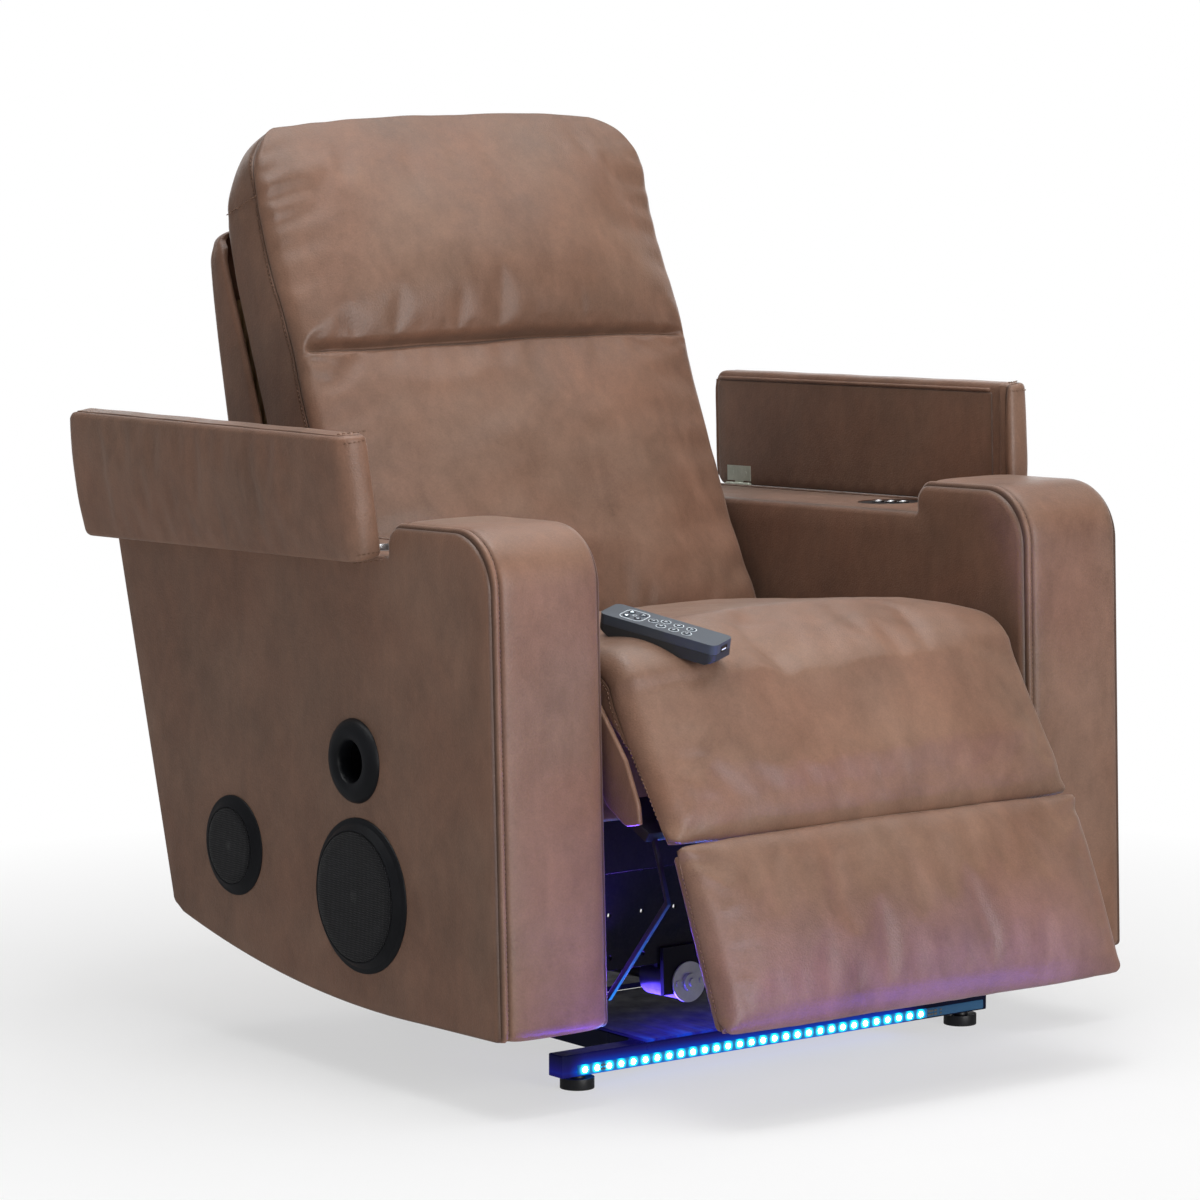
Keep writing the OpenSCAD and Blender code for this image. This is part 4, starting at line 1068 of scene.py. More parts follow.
def build_back():
    """One sewn cover over the back and the head pillow, with a deep tuck between them; the top is turned slightly."""
    Z0 = 780.5
    F = spaced([(-22, 404), (0, 449), (12, 476), (33, 515), (52, 553), (71, 600), (90, 647), (107, 690), (119, 720), (129, 750), (138, 780), (149, 810), (163, 840), (178, 872), (190, 900), (200, 930), (206.5, 950), (214, 972), (225, 994), (240, 1014), (256, 1029.5), (271, 1040.5)], 900, Z0)
    zb = [404, 449, 504, 552, 600, 648, 704, 743, 771, 797, 828, 856, 886, 915, 940, 962, 984, 1008, 1028, 1040]
    yb = [96, 116, 145, 166, 185, 204, 219, 233, 243, 252, 263, 272, 279, 285, 288.5, 290, 288.5, 284, 278, 275]
    z = F[:, 1]
    zz_b = np.interp(z, [404, 780, 1000, 1040.5], [404, 776, 1010, 1039.5])
    B = np.stack([np.interp(zz_b, zb, yb), zz_b], -1)
    Nf = path_normals(F, np.array([-1, 0.3]))
    R = 66.0
    W = np.where(z > 1041 - R, 285 - R + np.sqrt(np.maximum(0, R**2 - np.clip(z - 1041 + R, 0, R) ** 2)), 285.0)
    lowC = 4 + 24 * sstep(400, 520, z) * (1 - 0.55 * sstep(620, 776, z))
    q_ = np.clip((z - 781) / 60.0, 0, 1)
    upC = 5 + 38 * np.sqrt(np.maximum(0, 1 - (1 - q_) ** 2)) * (1 - 0.86 * sstep(860, 1036, z))
    k = sstep(Z0 - 1, Z0 + 2, z)
    C = lowC * (1 - k) + upC * k
    dist = np.linalg.norm(B - F, axis=1)
    r = np.clip(dist * 0.16, 1.2, 14)

    def height(x, u, i):
        zz = np.full(len(x), z[i])
        h = C[i] * (1 - np.abs(u) ** 2.4)
        h = h + wobble(x, zz, 21, 170, 1.3) * (1 - u**4) + wobble(x, zz, 22, 60, 0.4)
        fade = 1 - sstep(262, 281, np.abs(x))
        tk = Z0 + 1.6 * np.sin(x / 70.0) + 0.8 * np.sin(x / 23.0)
        dz = z[i] - tk
        dep = np.where(dz > 0, np.exp(-((dz / 5.0) ** 2)), np.exp(-((dz / 3.6) ** 2)))
        h = h - 14.0 * dep * fade
        # gathers that run out of the tuck
        g = np.exp(-((z[i] - (Z0 + 20)) / 15) ** 2) + 0.8 * np.exp(-((z[i] - (Z0 - 18)) / 12) ** 2)
        h = h + g * 0.9 * np.sin(x / 14.0 + 2.0 * np.sin(x / 39)) * fade
        for sx in (-1, 1):
            e = sx * 285
            h = h + crease(x, zz, e - sx * 34, Z0 + 2, e - sx * 62, Z0 + 14, -4.5, 5) + crease(x, zz, e - sx * 8, Z0 - 4, e - sx * 52, Z0 - 1, -2.6, 3.4)
            h = h + crease(x, zz, e - sx * 20, Z0 + 8, e - sx * 74, Z0 + 30, -3.4, 6) + crease(x, zz, e - sx * 16, Z0 - 14, e - sx * 80, Z0 - 32, -2.4, 6)
            h = h + crease(x, zz, e - sx * 4, Z0 - 30, e - sx * 60, Z0 - 62, -1.8, 7)
            h = h + crease(x, zz, sx * 283, 560, sx * 190, 520, -1.8, 13) + crease(x, zz, sx * 282, 500, sx * 180, 470, -2.6, 12)
            h = h + crease(x, zz, sx * 284, 640, sx * 228, 618, -1.4, 9)
            a = 1.0 if sx < 0 else 0.75
            h = h + a * (crease(x, zz, e, 955, e - sx * 118, 968, -7.0, 7.0) + crease(x, zz, e, 985, e - sx * 72, 1000, -5.0, 5.5)
                         + crease(x, zz, e - sx * 18, 1008, e - sx * 82, 1018, -4.0, 5) + crease(x, zz, e, 925, e - sx * 92, 936, -4.0, 7.5)
                         + crease(x, zz, e, 892, e - sx * 76, 902, -2.8, 8) + crease(x, zz, e, 852, e - sx * 74, 866, -2.2, 8))
        top = np.exp(-((z[i] - 1020) / 24) ** 2)
        h = h + top * 1.1 * np.sin(x / 11.0 + 1.3 * np.sin(x / 29)) * (0.3 + 0.7 * (x < -60))
        h = h + crease(x, zz, -120, 455, 60, 466, -1.8, 12)
        return h

    def wave(dd, D, i, sx):
        t = np.clip(dd / max(D, 1), 0, 1)
        up = sstep(880, 950, z[i])
        a = (0.9 + 1.6 * up) * np.sin(z[i] / 15.0 + 1.9 * np.sin(z[i] / 33) + sx) * np.exp(-((t - 0.16) / 0.28) ** 2) * (0.4 + 0.6 * sstep(620, 800, z[i]))
        g = -2.8 * np.exp(-(((z[i] - (958 - 30 * t)) / 2.6) ** 2)) * (D > 30)
        shrink = -17.0 * t**1.4 * sstep(925, 1010, z[i])
        return (a + g) * min(1, D / 40) + shrink

    def to(p):
        p = np.array(p, float)
        t = sstep(930, 1040, p[..., 2])
        p[..., 0] = p[..., 0] + 6.0 * t
        p[..., 2] = p[..., 2] + 3.5 * p[..., 0] / 285.0 * t
        return leaned(p)

    ob, s, Rt, Lf = cushion("back_cushion_cover", F, Nf, B, W, height, r, side_wave=wave, side_bulge=4.0, to=to)
    nloop = len(ob.data.vertices) // len(F)
    n_front = 2 * (int(round(285 / 7.0)) + 7) + 1
    idx = np.arange(len(ob.data.vertices)) % nloop
    row = np.arange(len(ob.data.vertices)) // nloop
    fr = np.minimum(idx, n_front - 1 - idx)
    pin = np.where(idx < n_front, np.clip(1 - (fr - 5) / 3.0, 0, 1), 1.0)
    pin = np.maximum(pin, np.clip(1 - (row - 3) / 4.0, 0, 1))
    pin = np.maximum(pin, np.clip((row - (len(F) - 12)) / 5.0, 0, 1))
    pin = np.maximum(pin, np.clip(1.5 - abs(z[row] - Z0) / 7.0, 0, 1))
    puff(ob, pressure=4.0, cap=12, pin=pin)
    subsurf(ob)
    dress(ob, None, replaces=["back_cushion", "headrest_cushion"])
    P0, P1 = leaned([0, 240.0, 800.0]), leaned([0, 268.0, 905.0])
    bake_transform(ob)
    runs = []
    for side in (Rt, Lf):
        P = np.array([p for p, _ in side])
        sx = np.sign(P[0, 0])
        k = len(P) - 9
        N = tangents(P[:, [0, 2]])
        nn = np.column_stack([np.abs(N[:, 1]) * sx, np.zeros(len(P)), np.abs(N[:, 0])])
        runs.append((P[5:k], nn[5:k]))
    # the short cross seam in the side of the pillow
    t = np.linspace(0.10, 0.9, 14)
    i0 = int(np.argmin(abs(z - 958)))
    P = np.column_stack([np.full(14, -285 - 2.6), F[i0, 0] + (B[i0, 0] - F[i0, 0]) * t, 962.5 - 30 * t])
    runs.append((P, np.tile([-1.0, 0, 0], (14, 1))))
    stitches("back_cover_stitching", runs, None, to=to, blend=("back", "headrest", tuple(P0), tuple(P1)))


def build_seat():
    top = [(14, 446), (-20, 448.5), (-60, 452), (-110, 456), (-160, 460), (-210, 463.5), (-260, 466.5), (-310, 469.5), (-350, 472), (-380, 473.2)]
    n_arc = [tuple(H1 + 64.2 * np.array([math.cos(math.radians(a)), math.sin(math.radians(a))])) for a in (92, 100, 110, 120, 130, 139, 146)]
    line = [tuple(on1(u, n)) for u, n in ((176, 20.4), (158, 19.6), (135, 19.2), (110, 19.0), (85, 19.0), (62, 19.2), (42, 19.2), (26, 17.8), (13, 13.5), (4.5, 7.0), (1.2, 0.5))]
    F = smooth_path(top + n_arc + line, 104)
    Nf = path_normals(F, np.array([-0.5, 0.8]))
    s = np.r_[0, np.cumsum(np.linalg.norm(np.diff(F, axis=0), axis=1))]
    S = s[-1]
    s_arc = s[np.argmin(np.linalg.norm(F - np.array([-392, 472]), axis=1))]
    s_lin = s[np.argmin(np.linalg.norm(F - on1(176, 20.4), axis=1))]
    key = [(0, (14, 404)), (60, (-40, 404)), (200, (-184, 404)), (s_arc - 60, (-334, 404)), (s_arc - 14, (-378, 407)), (s_arc + 8, (-397, 414)), (s_lin - 10, (-408, 410)),
           (s_lin + 14, tuple(on1(160, -22))), (s_lin + 60, tuple(on1(118, -6))), (S - 80, tuple(on1(62, -3))), (S - 40, tuple(on1(28, -3))), (S - 22, tuple(on1(12, -3))), (S - 8, tuple(on1(5, -3))), (S, tuple(on1(3.0, -3)))]
    ks = np.array([k for k, _ in key])
    kp = np.array([p for _, p in key], float)
    B = np.stack([np.interp(s, ks, kp[:, 0]), np.interp(s, ks, kp[:, 1])], -1)
    W = 287.0 - 4.0 * sstep(s_arc - 90, s_arc + 20, s)
    C = 12.0 + 4 * np.exp(-((s - s_arc) / 90) ** 2) - 8.0 * (1 - sstep(0, 90, s)) - 3.5 * sstep(S - 40, S - 6, s)
    r = 22 - 5 * (1 - sstep(0, 60, s)) - 17.5 * sstep(S - 26, S - 3, s)

    def height(x, u, i):
        ss = np.full(len(x), s[i])
        h = C[i] * (1 - np.abs(u) ** 2.6)
        h = h + wobble(x, ss, 41, 190, 1.0) * (1 - u**4) + wobble(x, ss, 42, 64, 0.3)
        e = S - s[i]
        h = h + 0.8 * np.sin(x / 12.0 + 1.9 * np.sin(x / 43)) * np.exp(-((e - 22) / 12) ** 2)
        for sx in (-1, 1):
            h = h + crease(x, ss, sx * 283, S - 26, sx * 240, S - 62, -4.0, 7) + crease(x, ss, sx * 283, S - 14, sx * 222, S - 34, -4.5, 6)
            h = h + crease(x, ss, sx * 284, s_arc + 26, sx * 215, s_arc + 2, -1.8, 11)
        # the handset sinks in a little
        h = h - 2.2 * np.exp(-(((x + 200) / 36) ** 2) - ((s[i] - s_arc + 4) / 66) ** 2)
        return h

    ob, s_, R, Lf = cushion("seat_and_chaise_cover", F, Nf, B, W, height, r, seam_d=4.0, stitch_d=8.2, side_bulge=3.0)
    n_front = 2 * (int(round(W.max() / 7.0)) + 7) + 1
    nloop = len(ob.data.vertices) // len(F)
    idx = np.arange(len(ob.data.vertices)) % nloop
    row = np.arange(len(ob.data.vertices)) // nloop
    pin = np.where(idx < n_front, 0.0, 1.0)
    fr = np.minimum(idx, n_front - 1 - idx)
    pin = np.where(idx < n_front, np.clip(1 - (fr - 6) / 3.0, 0, 1), pin)
    pin = np.maximum(pin, np.clip(1 - (row - 6) / 6.0, 0, 1))
    pin = np.maximum(pin, np.clip((row - (len(F) - 9)) / 4.0, 0, 1))
    puff(ob, pressure=4.0, cap=9, pin=pin)
    subsurf(ob)
    dress(ob, None, replaces=["seat_cushion", "chaise_pad"])
    P0, P1 = leaned([0, -330.0, 472.0]), leaned([0, -480.0, 400.0])
    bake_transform(ob)
    runs = []
    for side in (R, Lf):
        P = np.array([p for p, _ in side])
        sx = np.sign(P[0, 0])
        a = int(np.argmin(abs(s - (s_arc - 60))))
        runs.append((P[a:-7] + [sx * 0.2, 0, 0], np.tile([sx, 0.0, 0.0], (len(P) - 7 - a, 1))))
    stitches("chaise_stitching", runs, None, blend=("body", "footrest", tuple(P0), tuple(P1)))

    # lower pad
    pts = [on2(v, n) for v, n in ((0.6, 9.4), (2.0, 12.5), (7, 17.5), (19, 21.0), (38, 23.6), (62, 25.0), (90, 25.8), (115, 26.2), (140, 26.4), (162, 26.4), (182, 26.2), (195, 25.4), (203, 22.0), (207, 17), (208, 12.5), (208.2, 9.0))]
    F = smooth_path(pts, 44)
    Nf = path_normals(F, N2)
    s = np.r_[0, np.cumsum(np.linalg.norm(np.diff(F, axis=0), axis=1))]
    S = s[-1]
    rel = F - H2
    v = rel @ V2
    vb = np.clip(v, 5, 205)
    B = np.array([on2(a, 8.4) for a in vb])
    W = np.full(len(F), 283.0) - 5.0 * sstep(S - 16, S, s) ** 2
    C = np.interp(s, [0, 24, 70, 120, 160, 190, S - 18, S], [4.0, 9.0, 13.0, 18.0, 19.5, 15.0, 5.0, 1.0])
    r = 19 - 14.5 * (1 - sstep(3, 24, s)) - 14 * sstep(S - 30, S, s)

    def height3(x, u, i):
        ss = np.full(len(x), s[i])
        h = C[i] * (1 - np.abs(u) ** 2.6)
        h = h + wobble(x, ss, 51, 170, 0.9) * (1 - u**4) + wobble(x, ss, 52, 60, 0.25)
        h = h + 0.7 * np.sin(x / 12.5 + 1.9 * np.sin(x / 39)) * np.exp(-((s[i] - 22) / 12) ** 2)
        for sx in (-1, 1):
            h = h + crease(x, ss, sx * 283, 20, sx * 226, 44, -4.0, 7) + crease(x, ss, sx * 282, 40, sx * 240, 80, -2.4, 7)
        return h

    ob, s_, R, Lf = cushion("footrest_pad_cover", F, Nf, B, W, height3, r, seam_d=3.0, stitch_d=7.0, side_bulge=1.0, nback=10)
    n_front = 2 * (int(round(W.max() / 7.0)) + 7) + 1
    nloop = len(ob.data.vertices) // len(F)
    idx = np.arange(len(ob.data.vertices)) % nloop
    row = np.arange(len(ob.data.vertices)) // nloop
    pin = np.where(idx < n_front, 0.0, 1.0)
    fr = np.minimum(idx, n_front - 1 - idx)
    pin = np.where(idx < n_front, np.clip(1 - (fr - 6) / 3.0, 0, 1), pin)
    pin = np.maximum(pin, np.clip(1 - (row - 4) / 4.0, 0, 1))
    pin = np.maximum(pin, np.clip((row - (len(F) - 10)) / 5.0, 0, 1))
    puff(ob, pressure=4.0, cap=9, pin=pin)
    subsurf(ob)
    dress(ob, "ottoman", replaces=["footrest_pad"])
    runs = []
    for side in (R, Lf):
        P = np.array([p for p, _ in side])
        sx = np.sign(P[0, 0])
        runs.append((P[5:-7] + [sx * 0.2, 0, 0], np.tile([sx, 0.0, 0.0], (len(P) - 12, 1))))
    stitches("footrest_pad_stitching", runs, "ottoman")

    # leather-wrapped board behind the lower pad
    t0, t1 = 7.6, -0.4
    prof = np.array([on2(12, t0), on2(10.6, t0 - 1.5), on2(10.6, t1 + 2), on2(12.5, t1), on2(30, t1), on2(100, t1), on2(170, t1), on2(197, t1), on2(200.5, t1 + 2), on2(201.8, t0 - 2), on2(201.8, t0), on2(190, t0), on2(100, t0), on2(30, t0)])
    prof = np.vstack([resample(prof[k : k + 2], n=3)[:-1] for k in range(len(prof) - 1)] + [prof[-1:]])
    xs = np.array([-283.5, -283.2, -282.0, -279.0, -270, -230, -180, -120, -60, 0, 60, 120, 180, 230, 270, 279.0, 282.0, 283.2, 283.5])
    cen = prof.mean(0)
    G = []
    for x in xs:
        k = 1 - 0.0 * abs(x)
        q = max(0.0, (abs(x) - 279.0) / 4.5)
        sh = 3.0 * (1 - math.sqrt(max(0, 1 - q * q)))
        d = prof - cen
        a, b = d @ V2, d @ N2
        a = np.sign(a) * np.maximum(np.abs(a) - sh, 0)
        b = np.sign(b) * np.maximum(np.abs(b) - sh * 0.6, 0)
        pts = cen + a[:, None] * V2 + b[:, None] * N2
        pts = pts + N2 * (wobble(np.full(len(pts), x), a, 61, 120, 0.25))[:, None] * (b < -5)[:, None]
        G.append(np.column_stack([np.full(len(pts), x), pts]))
    ob = loft("footrest_board_leather", np.array(G), mat=M["leather"], attrs=dict(seam_shade=np.zeros((len(xs), len(prof))), edge=np.zeros((len(xs), len(prof)))))
    sharp(ob, 50)
    dress(ob, "ottoman", replaces=["footrest_board"])


def build_plate_wraps():
    """Leather sleeves over the two side plates that carry the chaise pad."""
    P = [H1 + [-19, 3], H1 + [17, -10], on1(84, -64), on1(52, -47), on1(44, -28), on1(60, -20), on1(110, -14)]
    P = ccw(np.array(P, float))
    out = inset(P, -3.0)
    out = resample(out, 6.0, closed=True)
    for sx in (-1, 1):
        xs = np.array([285.4, 285.6, 286.6, 289.6, 291.2, 291.5])
        sh = np.array([2.2, 1.0, 0.0, 0.0, 1.0, 2.2])
        G = []
        for x, q in zip(xs, sh):
            o = inset(out, q)
            G.append(np.column_stack([np.full(len(o), sx * x), o]))
        ob = loft(f"footrest_side_sleeve_{'left' if sx > 0 else 'right'}", np.array(G), mat=M["leather"], attrs=dict(seam_shade=np.zeros((len(xs), len(out))), edge=np.zeros((len(xs), len(out)))))
        outward(ob)
        sharp(ob, 60)
        dress(ob, "footrest")


def build_lid(side, tag):
    body = f"lid_{tag}"
    base = lid_frame(side)
    y0, y1, z0, z1 = -260.6, 298.0, 576.8, 613.6

    def to(p):
        p = np.array(p, float)
        t = np.clip((p[..., 1] - y0) / (y1 - y0), 0, 1)
        p[..., 0] += np.clip(p[..., 0] / 68.9, 0, 1) * ((-2.0 + 9.0 * t) if side < 0 else 3.4) - 1.2 * np.clip(-p[..., 0] / 68.9, 0, 1)
        p[..., 0] -= 379.5
        return base(p)

    pts = np.vstack([
        [[y1 - 1.5, 578.2], [y1 - 0.3, 580.0]],
        np.column_stack([np.full(3, y1), np.linspace(584, z1 - 12, 3)]),
        arc(y1 - 9, z1 - 9, 9, 0, 90, 6),
        np.column_stack([np.linspace(y1 - 18, y0 + 34, 46), np.full(46, z1)]),
        arc(y0 + 19, z1 - 19, 19, 90, 180, 10),
        [[y0, 588.0], [y0 + 0.2, 582.0], [y0 + 1.6, 578.6], [y0 + 4.2, 577.4]]])
    F = smooth_path(pts, 92)
    Nf = path_normals(F, np.array([0.0, 1.0]))
    s = np.r_[0, np.cumsum(np.linalg.norm(np.diff(F, axis=0), axis=1))]
    S = s[-1]
    rear_n = s < 30
    B = np.stack([np.clip(F[:, 0], -243.5, 294.2), np.full(len(F), 579.4)], -1)
    B[:, 1] = np.where(F[:, 0] > y1 - 4, np.minimum(579.4, F[:, 1] + 0.4), B[:, 1])
    fr = F[:, 0] < -243.5
    B[fr, 1] = np.clip(F[fr, 1] - 8, 577.8, 579.4)
    W = np.full(len(F), 68.9) - 2.0 * sstep(S - 34, S, s)
    W = W - 11.0 + np.sqrt(np.maximum(0, 121.0 - np.clip(F[:, 0] - (y1 - 11.0), 0, 11.0) ** 2)) * 1.0
    C = 4.6 * sstep(0, 60, s) * (1 - sstep(S - 90, S - 20, s) * 0.75) + 0.6
    r = np.full(len(F), 5.5) - 2.5 * (1 - sstep(4, 30, s)) - 2.0 * sstep(S - 20, S, s)
    sm = S - 52.0

    def height(x, u, i):
        ss = np.full(len(x), s[i])
        h = C[i] * (1 - np.abs(u) ** 3.0)
        h = h + wobble(x, ss, 71 + side, 130, 0.7) * (1 - u**4) + wobble(x, ss, 73, 46, 0.18)
        for sx in (-1, 1):
            h = h + crease(x, ss, sx * 68, S - 58, sx * 40, S - 96, -1.2, 6)
        return h

    def wave(dd, D, i, sx):
        t = np.clip(dd / max(D, 1), 0, 1)
        return -1.5 * np.exp(-(((s[i] - (sm + 24 * t)) / 1.7) ** 2)) + 0.25 * np.sin(s[i] / 19.0 + sx)

    def roll(dd, D, i):
        return -7.0 * (1 - np.sqrt(np.maximum(0, 1 - np.clip((dd - (D - 8.0)) / 8.0, 0, 1) ** 2))) * (D > 20)

    ob, s_, R, Lf = cushion(f"lid_{tag}_cushion", F, Nf, B, W, height, r, lat=roll, to=to, step=6.0, seam_d=1.6, stitch_d=60.0, side_bulge=1.6, nback=8, side_wave=wave)
    n_front = 2 * (int(round(W.max() / 6.0)) + 7) + 1
    nloop = len(ob.data.vertices) // len(F)
    idx = np.arange(len(ob.data.vertices)) % nloop
    row = np.arange(len(ob.data.vertices)) // nloop
    pin = np.where(idx < n_front, 0.0, 1.0)
    frn = np.minimum(idx, n_front - 1 - idx)
    pin = np.where(idx < n_front, np.clip(1 - (frn - 6) / 3.0, 0, 1), pin)
    pin = np.maximum(pin, np.clip(1 - (row - 12) / 5.0, 0, 1))
    pin = np.maximum(pin, np.clip((row - (len(F) - 22)) / 6.0, 0, 1))
    puff(ob, pressure=3.0, cap=4, pin=pin)
    subsurf(ob)
    dress(ob, body, replaces=[f"lid_{tag}_pad"])
    # stitched mitres across the boxing at the front, both sides, and along the lower edge
    runs = []
    i0 = int(np.argmin(abs(s - sm)))
    for sx in (-1, 1):
        t = np.linspace(0.06, 0.94, 24)
        yy = np.interp(sm + 24 * t + 3.4, s, F[:, 0])
        zz = np.interp(sm + 24 * t + 3.4, s, F[:, 1]) - 5.5 - t * 20
        runs.append((np.column_stack([np.full(24, sx * (W[i0] + 1.3)), yy, zz]), np.tile([sx, 0.0, 0.0], (24, 1))))
        a = np.linspace(S - 34, S - 6, 20)
        fy, fz = np.interp(a, s, F[:, 0]), np.interp(a, s, F[:, 1])
        runs.append((np.column_stack([np.full(20, sx * (W[-1] - 6.0)), fy - 0.9, fz]), np.tile([0, -1.0, 0.0], (20, 1))))
    stitches(f"lid_{tag}_stitching", runs, body, to=to)
    # inner face: leather over the lid board, edges rolled, with a welt along its free long edge
    def lay(p):
        p = np.asarray(p, float)
        return to(np.stack([p[..., 1] + 379.5, p[..., 2], p[..., 0]], -1))

    ax, bx, ay, by = -448.4, -321.0, -229.0, 290.0
    out = np.vstack([arc(bx - 7, by - 7, 7, 0, 90, 6), arc(ax + 11, by - 11, 11, 90, 180, 7), arc(ax + 3, ay + 3, 3, 180, 270, 3), arc(bx - 3, ay + 3, 3, 270, 360, 3)])
    inner = panel(f"lid_{tag}_inner_leather", out, [], 577.7, 586.0, 2.2, crown=0.5, to=lay, seam_shade_w=1.0, grid=16)
    dress(inner, body, replaces=[f"lid_{tag}_board"])
    yy = np.linspace(ay + 4, by - 4, 90)
    cord = []
    for y in yy:
        a = np.radians(np.arange(0, 360, 36))
        q = 2.1 + 0.12 * math.sin(y / 3.0)
        cord.append(np.column_stack([bx + 379.5 + 2.6 + q * np.cos(a), np.full(10, y), 579.6 + q * np.sin(a)]))
    w = loft(f"lid_{tag}_inner_welt", np.array(cord), to=to, mat=M["leather"], attrs=dict(seam_shade=np.zeros((90, 10)), edge=np.full((90, 10), 0.5)))
    dress(w, body)


OB_Z = [250, 430, 572, 640, 702, 781, 830, 850, 880, 900, 909, 914, 918]
OB_Y = [203, 243, 274, 287.5, 299.5, 313.6, 321, 323.7, 326.5, 327.5, 327, 324, 318]


def build_outside_back():
    zs = np.r_[np.linspace(250, 420, 9), np.linspace(432, 880, 44), 884, 889, 894, 899, 904, 908.5, 912, 915, 917, 918]
    yf_pts = np.array([(-99, 250), (-99, 430), (126, 440), (147, 496), (184, 596), (224, 705), (254, 790), (279, 856), (290, 890), (301, 909), (308, 918)], float)
    G, corner_seam_shade, ED = [], [], []
    for z in zs:
        yr = float(np.interp(z, OB_Z, OB_Y))
        W = 290.0 if z <= 878 else 290 - 40 + math.sqrt(max(0, 40**2 - (z - 878) ** 2)) * 1.0
        W = W - 0.0
        yf = np.interp(z, yf_pts[:, 1], yf_pts[:, 0])
        yf = min(max(yf, -99), yr - 9.0) if z > 432 else yr - 12.0
        if z > 900:
            yf = max(yf, yr - 12 - (918 - z) * 0.5)
        rc = min(16.0, (yr - yf) * 0.45)
        wv = lambda q: 0.9 * math.sin(z / 41.0 + q)
        side_y = np.linspace(yf, yr - rc, 9)
        top = 1 - float(sstep(896, 918, z))
        sb = 1.6 * np.sin(np.pi * (side_y - yf) / max(yr - rc - yf, 1)) * top
        lft = np.column_stack([-(W + sb), side_y])
        lft[0] += [2.2, 0.6]
        ca = np.radians(np.linspace(180, 90, 8))
        cor = np.column_stack([-W + rc + rc * np.cos(ca), yr - rc + rc * np.sin(ca)])[1:]
        xr = np.linspace(-W + rc, W - rc, 33)[1:-1]
        u = xr / W
        crown = 5.5 * (1 - np.abs(u) ** 3) * math.sin(math.pi * np.clip((z - 240) / 690, 0, 1)) ** 0.6 * top
        rear = np.column_stack([xr, yr + crown + wobble(xr, np.full(len(xr), z), 81, 160, 0.6) * top])
        rear[0:1, 1] -= 0.0
        outer = np.vstack([lft, cor, rear, (cor * [-1, 1])[::-1], (lft * [-1, 1])[::-1]])
        # a sewn seam down each rear corner, pressed in, with painted shade along its groove
        dseam = np.abs(np.abs(outer[:, 0]) - (W - rc - 1.0)) * (outer[:, 1] > yr - rc * 0.9) + 99 * (outer[:, 1] <= yr - rc * 0.9)
        gr = np.exp(-((dseam / 2.0) ** 2))
        outer[:, 1] -= 1.3 * gr
        th = 8.5
        inn_side = np.column_stack([-(W - th) * np.ones(4), np.linspace(yf + 0.5, yr - th - 2, 4)])
        inn_rear = np.column_stack([np.linspace(-(W - th) + 5, W - th - 5, 12), np.full(12, yr - th)])
        inner = np.vstack([inn_side, inn_rear, (inn_side * [-1, 1])[::-1]])[::-1]
        loop = np.vstack([outer, inner])
        G.append(np.column_stack([loop, np.full(len(loop), z)]))
        corner_seam_shade.append(np.r_[gr * 0.8, np.zeros(len(inner))])
        ED.append(np.zeros(len(loop)))
    ob = loft("outside_back_leather", np.array(G), mat=M["leather"], attrs=dict(seam_shade=np.array(corner_seam_shade), edge=np.array(ED)))
    sharp(ob, 55)
    subsurf(ob)
    dress(ob, "back", replaces=["outside_back"])
    zz = np.linspace(270, 872, 80)
    yr = np.interp(zz, OB_Z, OB_Y)
    runs = [(np.column_stack([np.full(80, sx * 268.5), yr + 1.2, zz]), np.tile([0, 1.0, -0.2], (80, 1))) for sx in (-1, 1)]
    xx = np.linspace(-246, 246, 60)
    runs.append((np.column_stack([xx, np.interp(906.0, OB_Z, OB_Y) + 1.0 + 0 * xx, np.full(60, 905.0)]), np.tile([0, 0.9, 0.45], (60, 1))))
    stitches("outside_back_stitching", runs, "back")

    def lay(p):
        p = np.asarray(p, float)
        return leaned(np.stack([p[..., 1], p[..., 0], p[..., 2]], -1))

    out = np.vstack([arc(289, 260, 2, 0, 90, 2), arc(-289, 260, 2, 90, 180, 2), arc(-289, 106, 2, 180, 270, 2), arc(289, 106, 2, 270, 360, 2)])
    hole = np.array([[111.5, 129.5], [148.5, 129.5], [148.5, 154.5], [111.5, 154.5]])
    sk = panel("rear_skirt_leather", out, [hole], 134.2, 119.0, 4.0, crown=1.2, to=lay, seam_shade_w=0.6, grid=18)
    dress(sk, "body", replaces=["rear_skirt"])
    runs = []
    for z in (250.0, 116.0):
        xx = np.linspace(-280, 280, 80)
        runs.append((np.column_stack([xx, np.full(80, 135.0), np.full(80, z)]), np.tile([0, 1.0, 0], (80, 1))))
    stitches("rear_skirt_stitching", runs, "body")


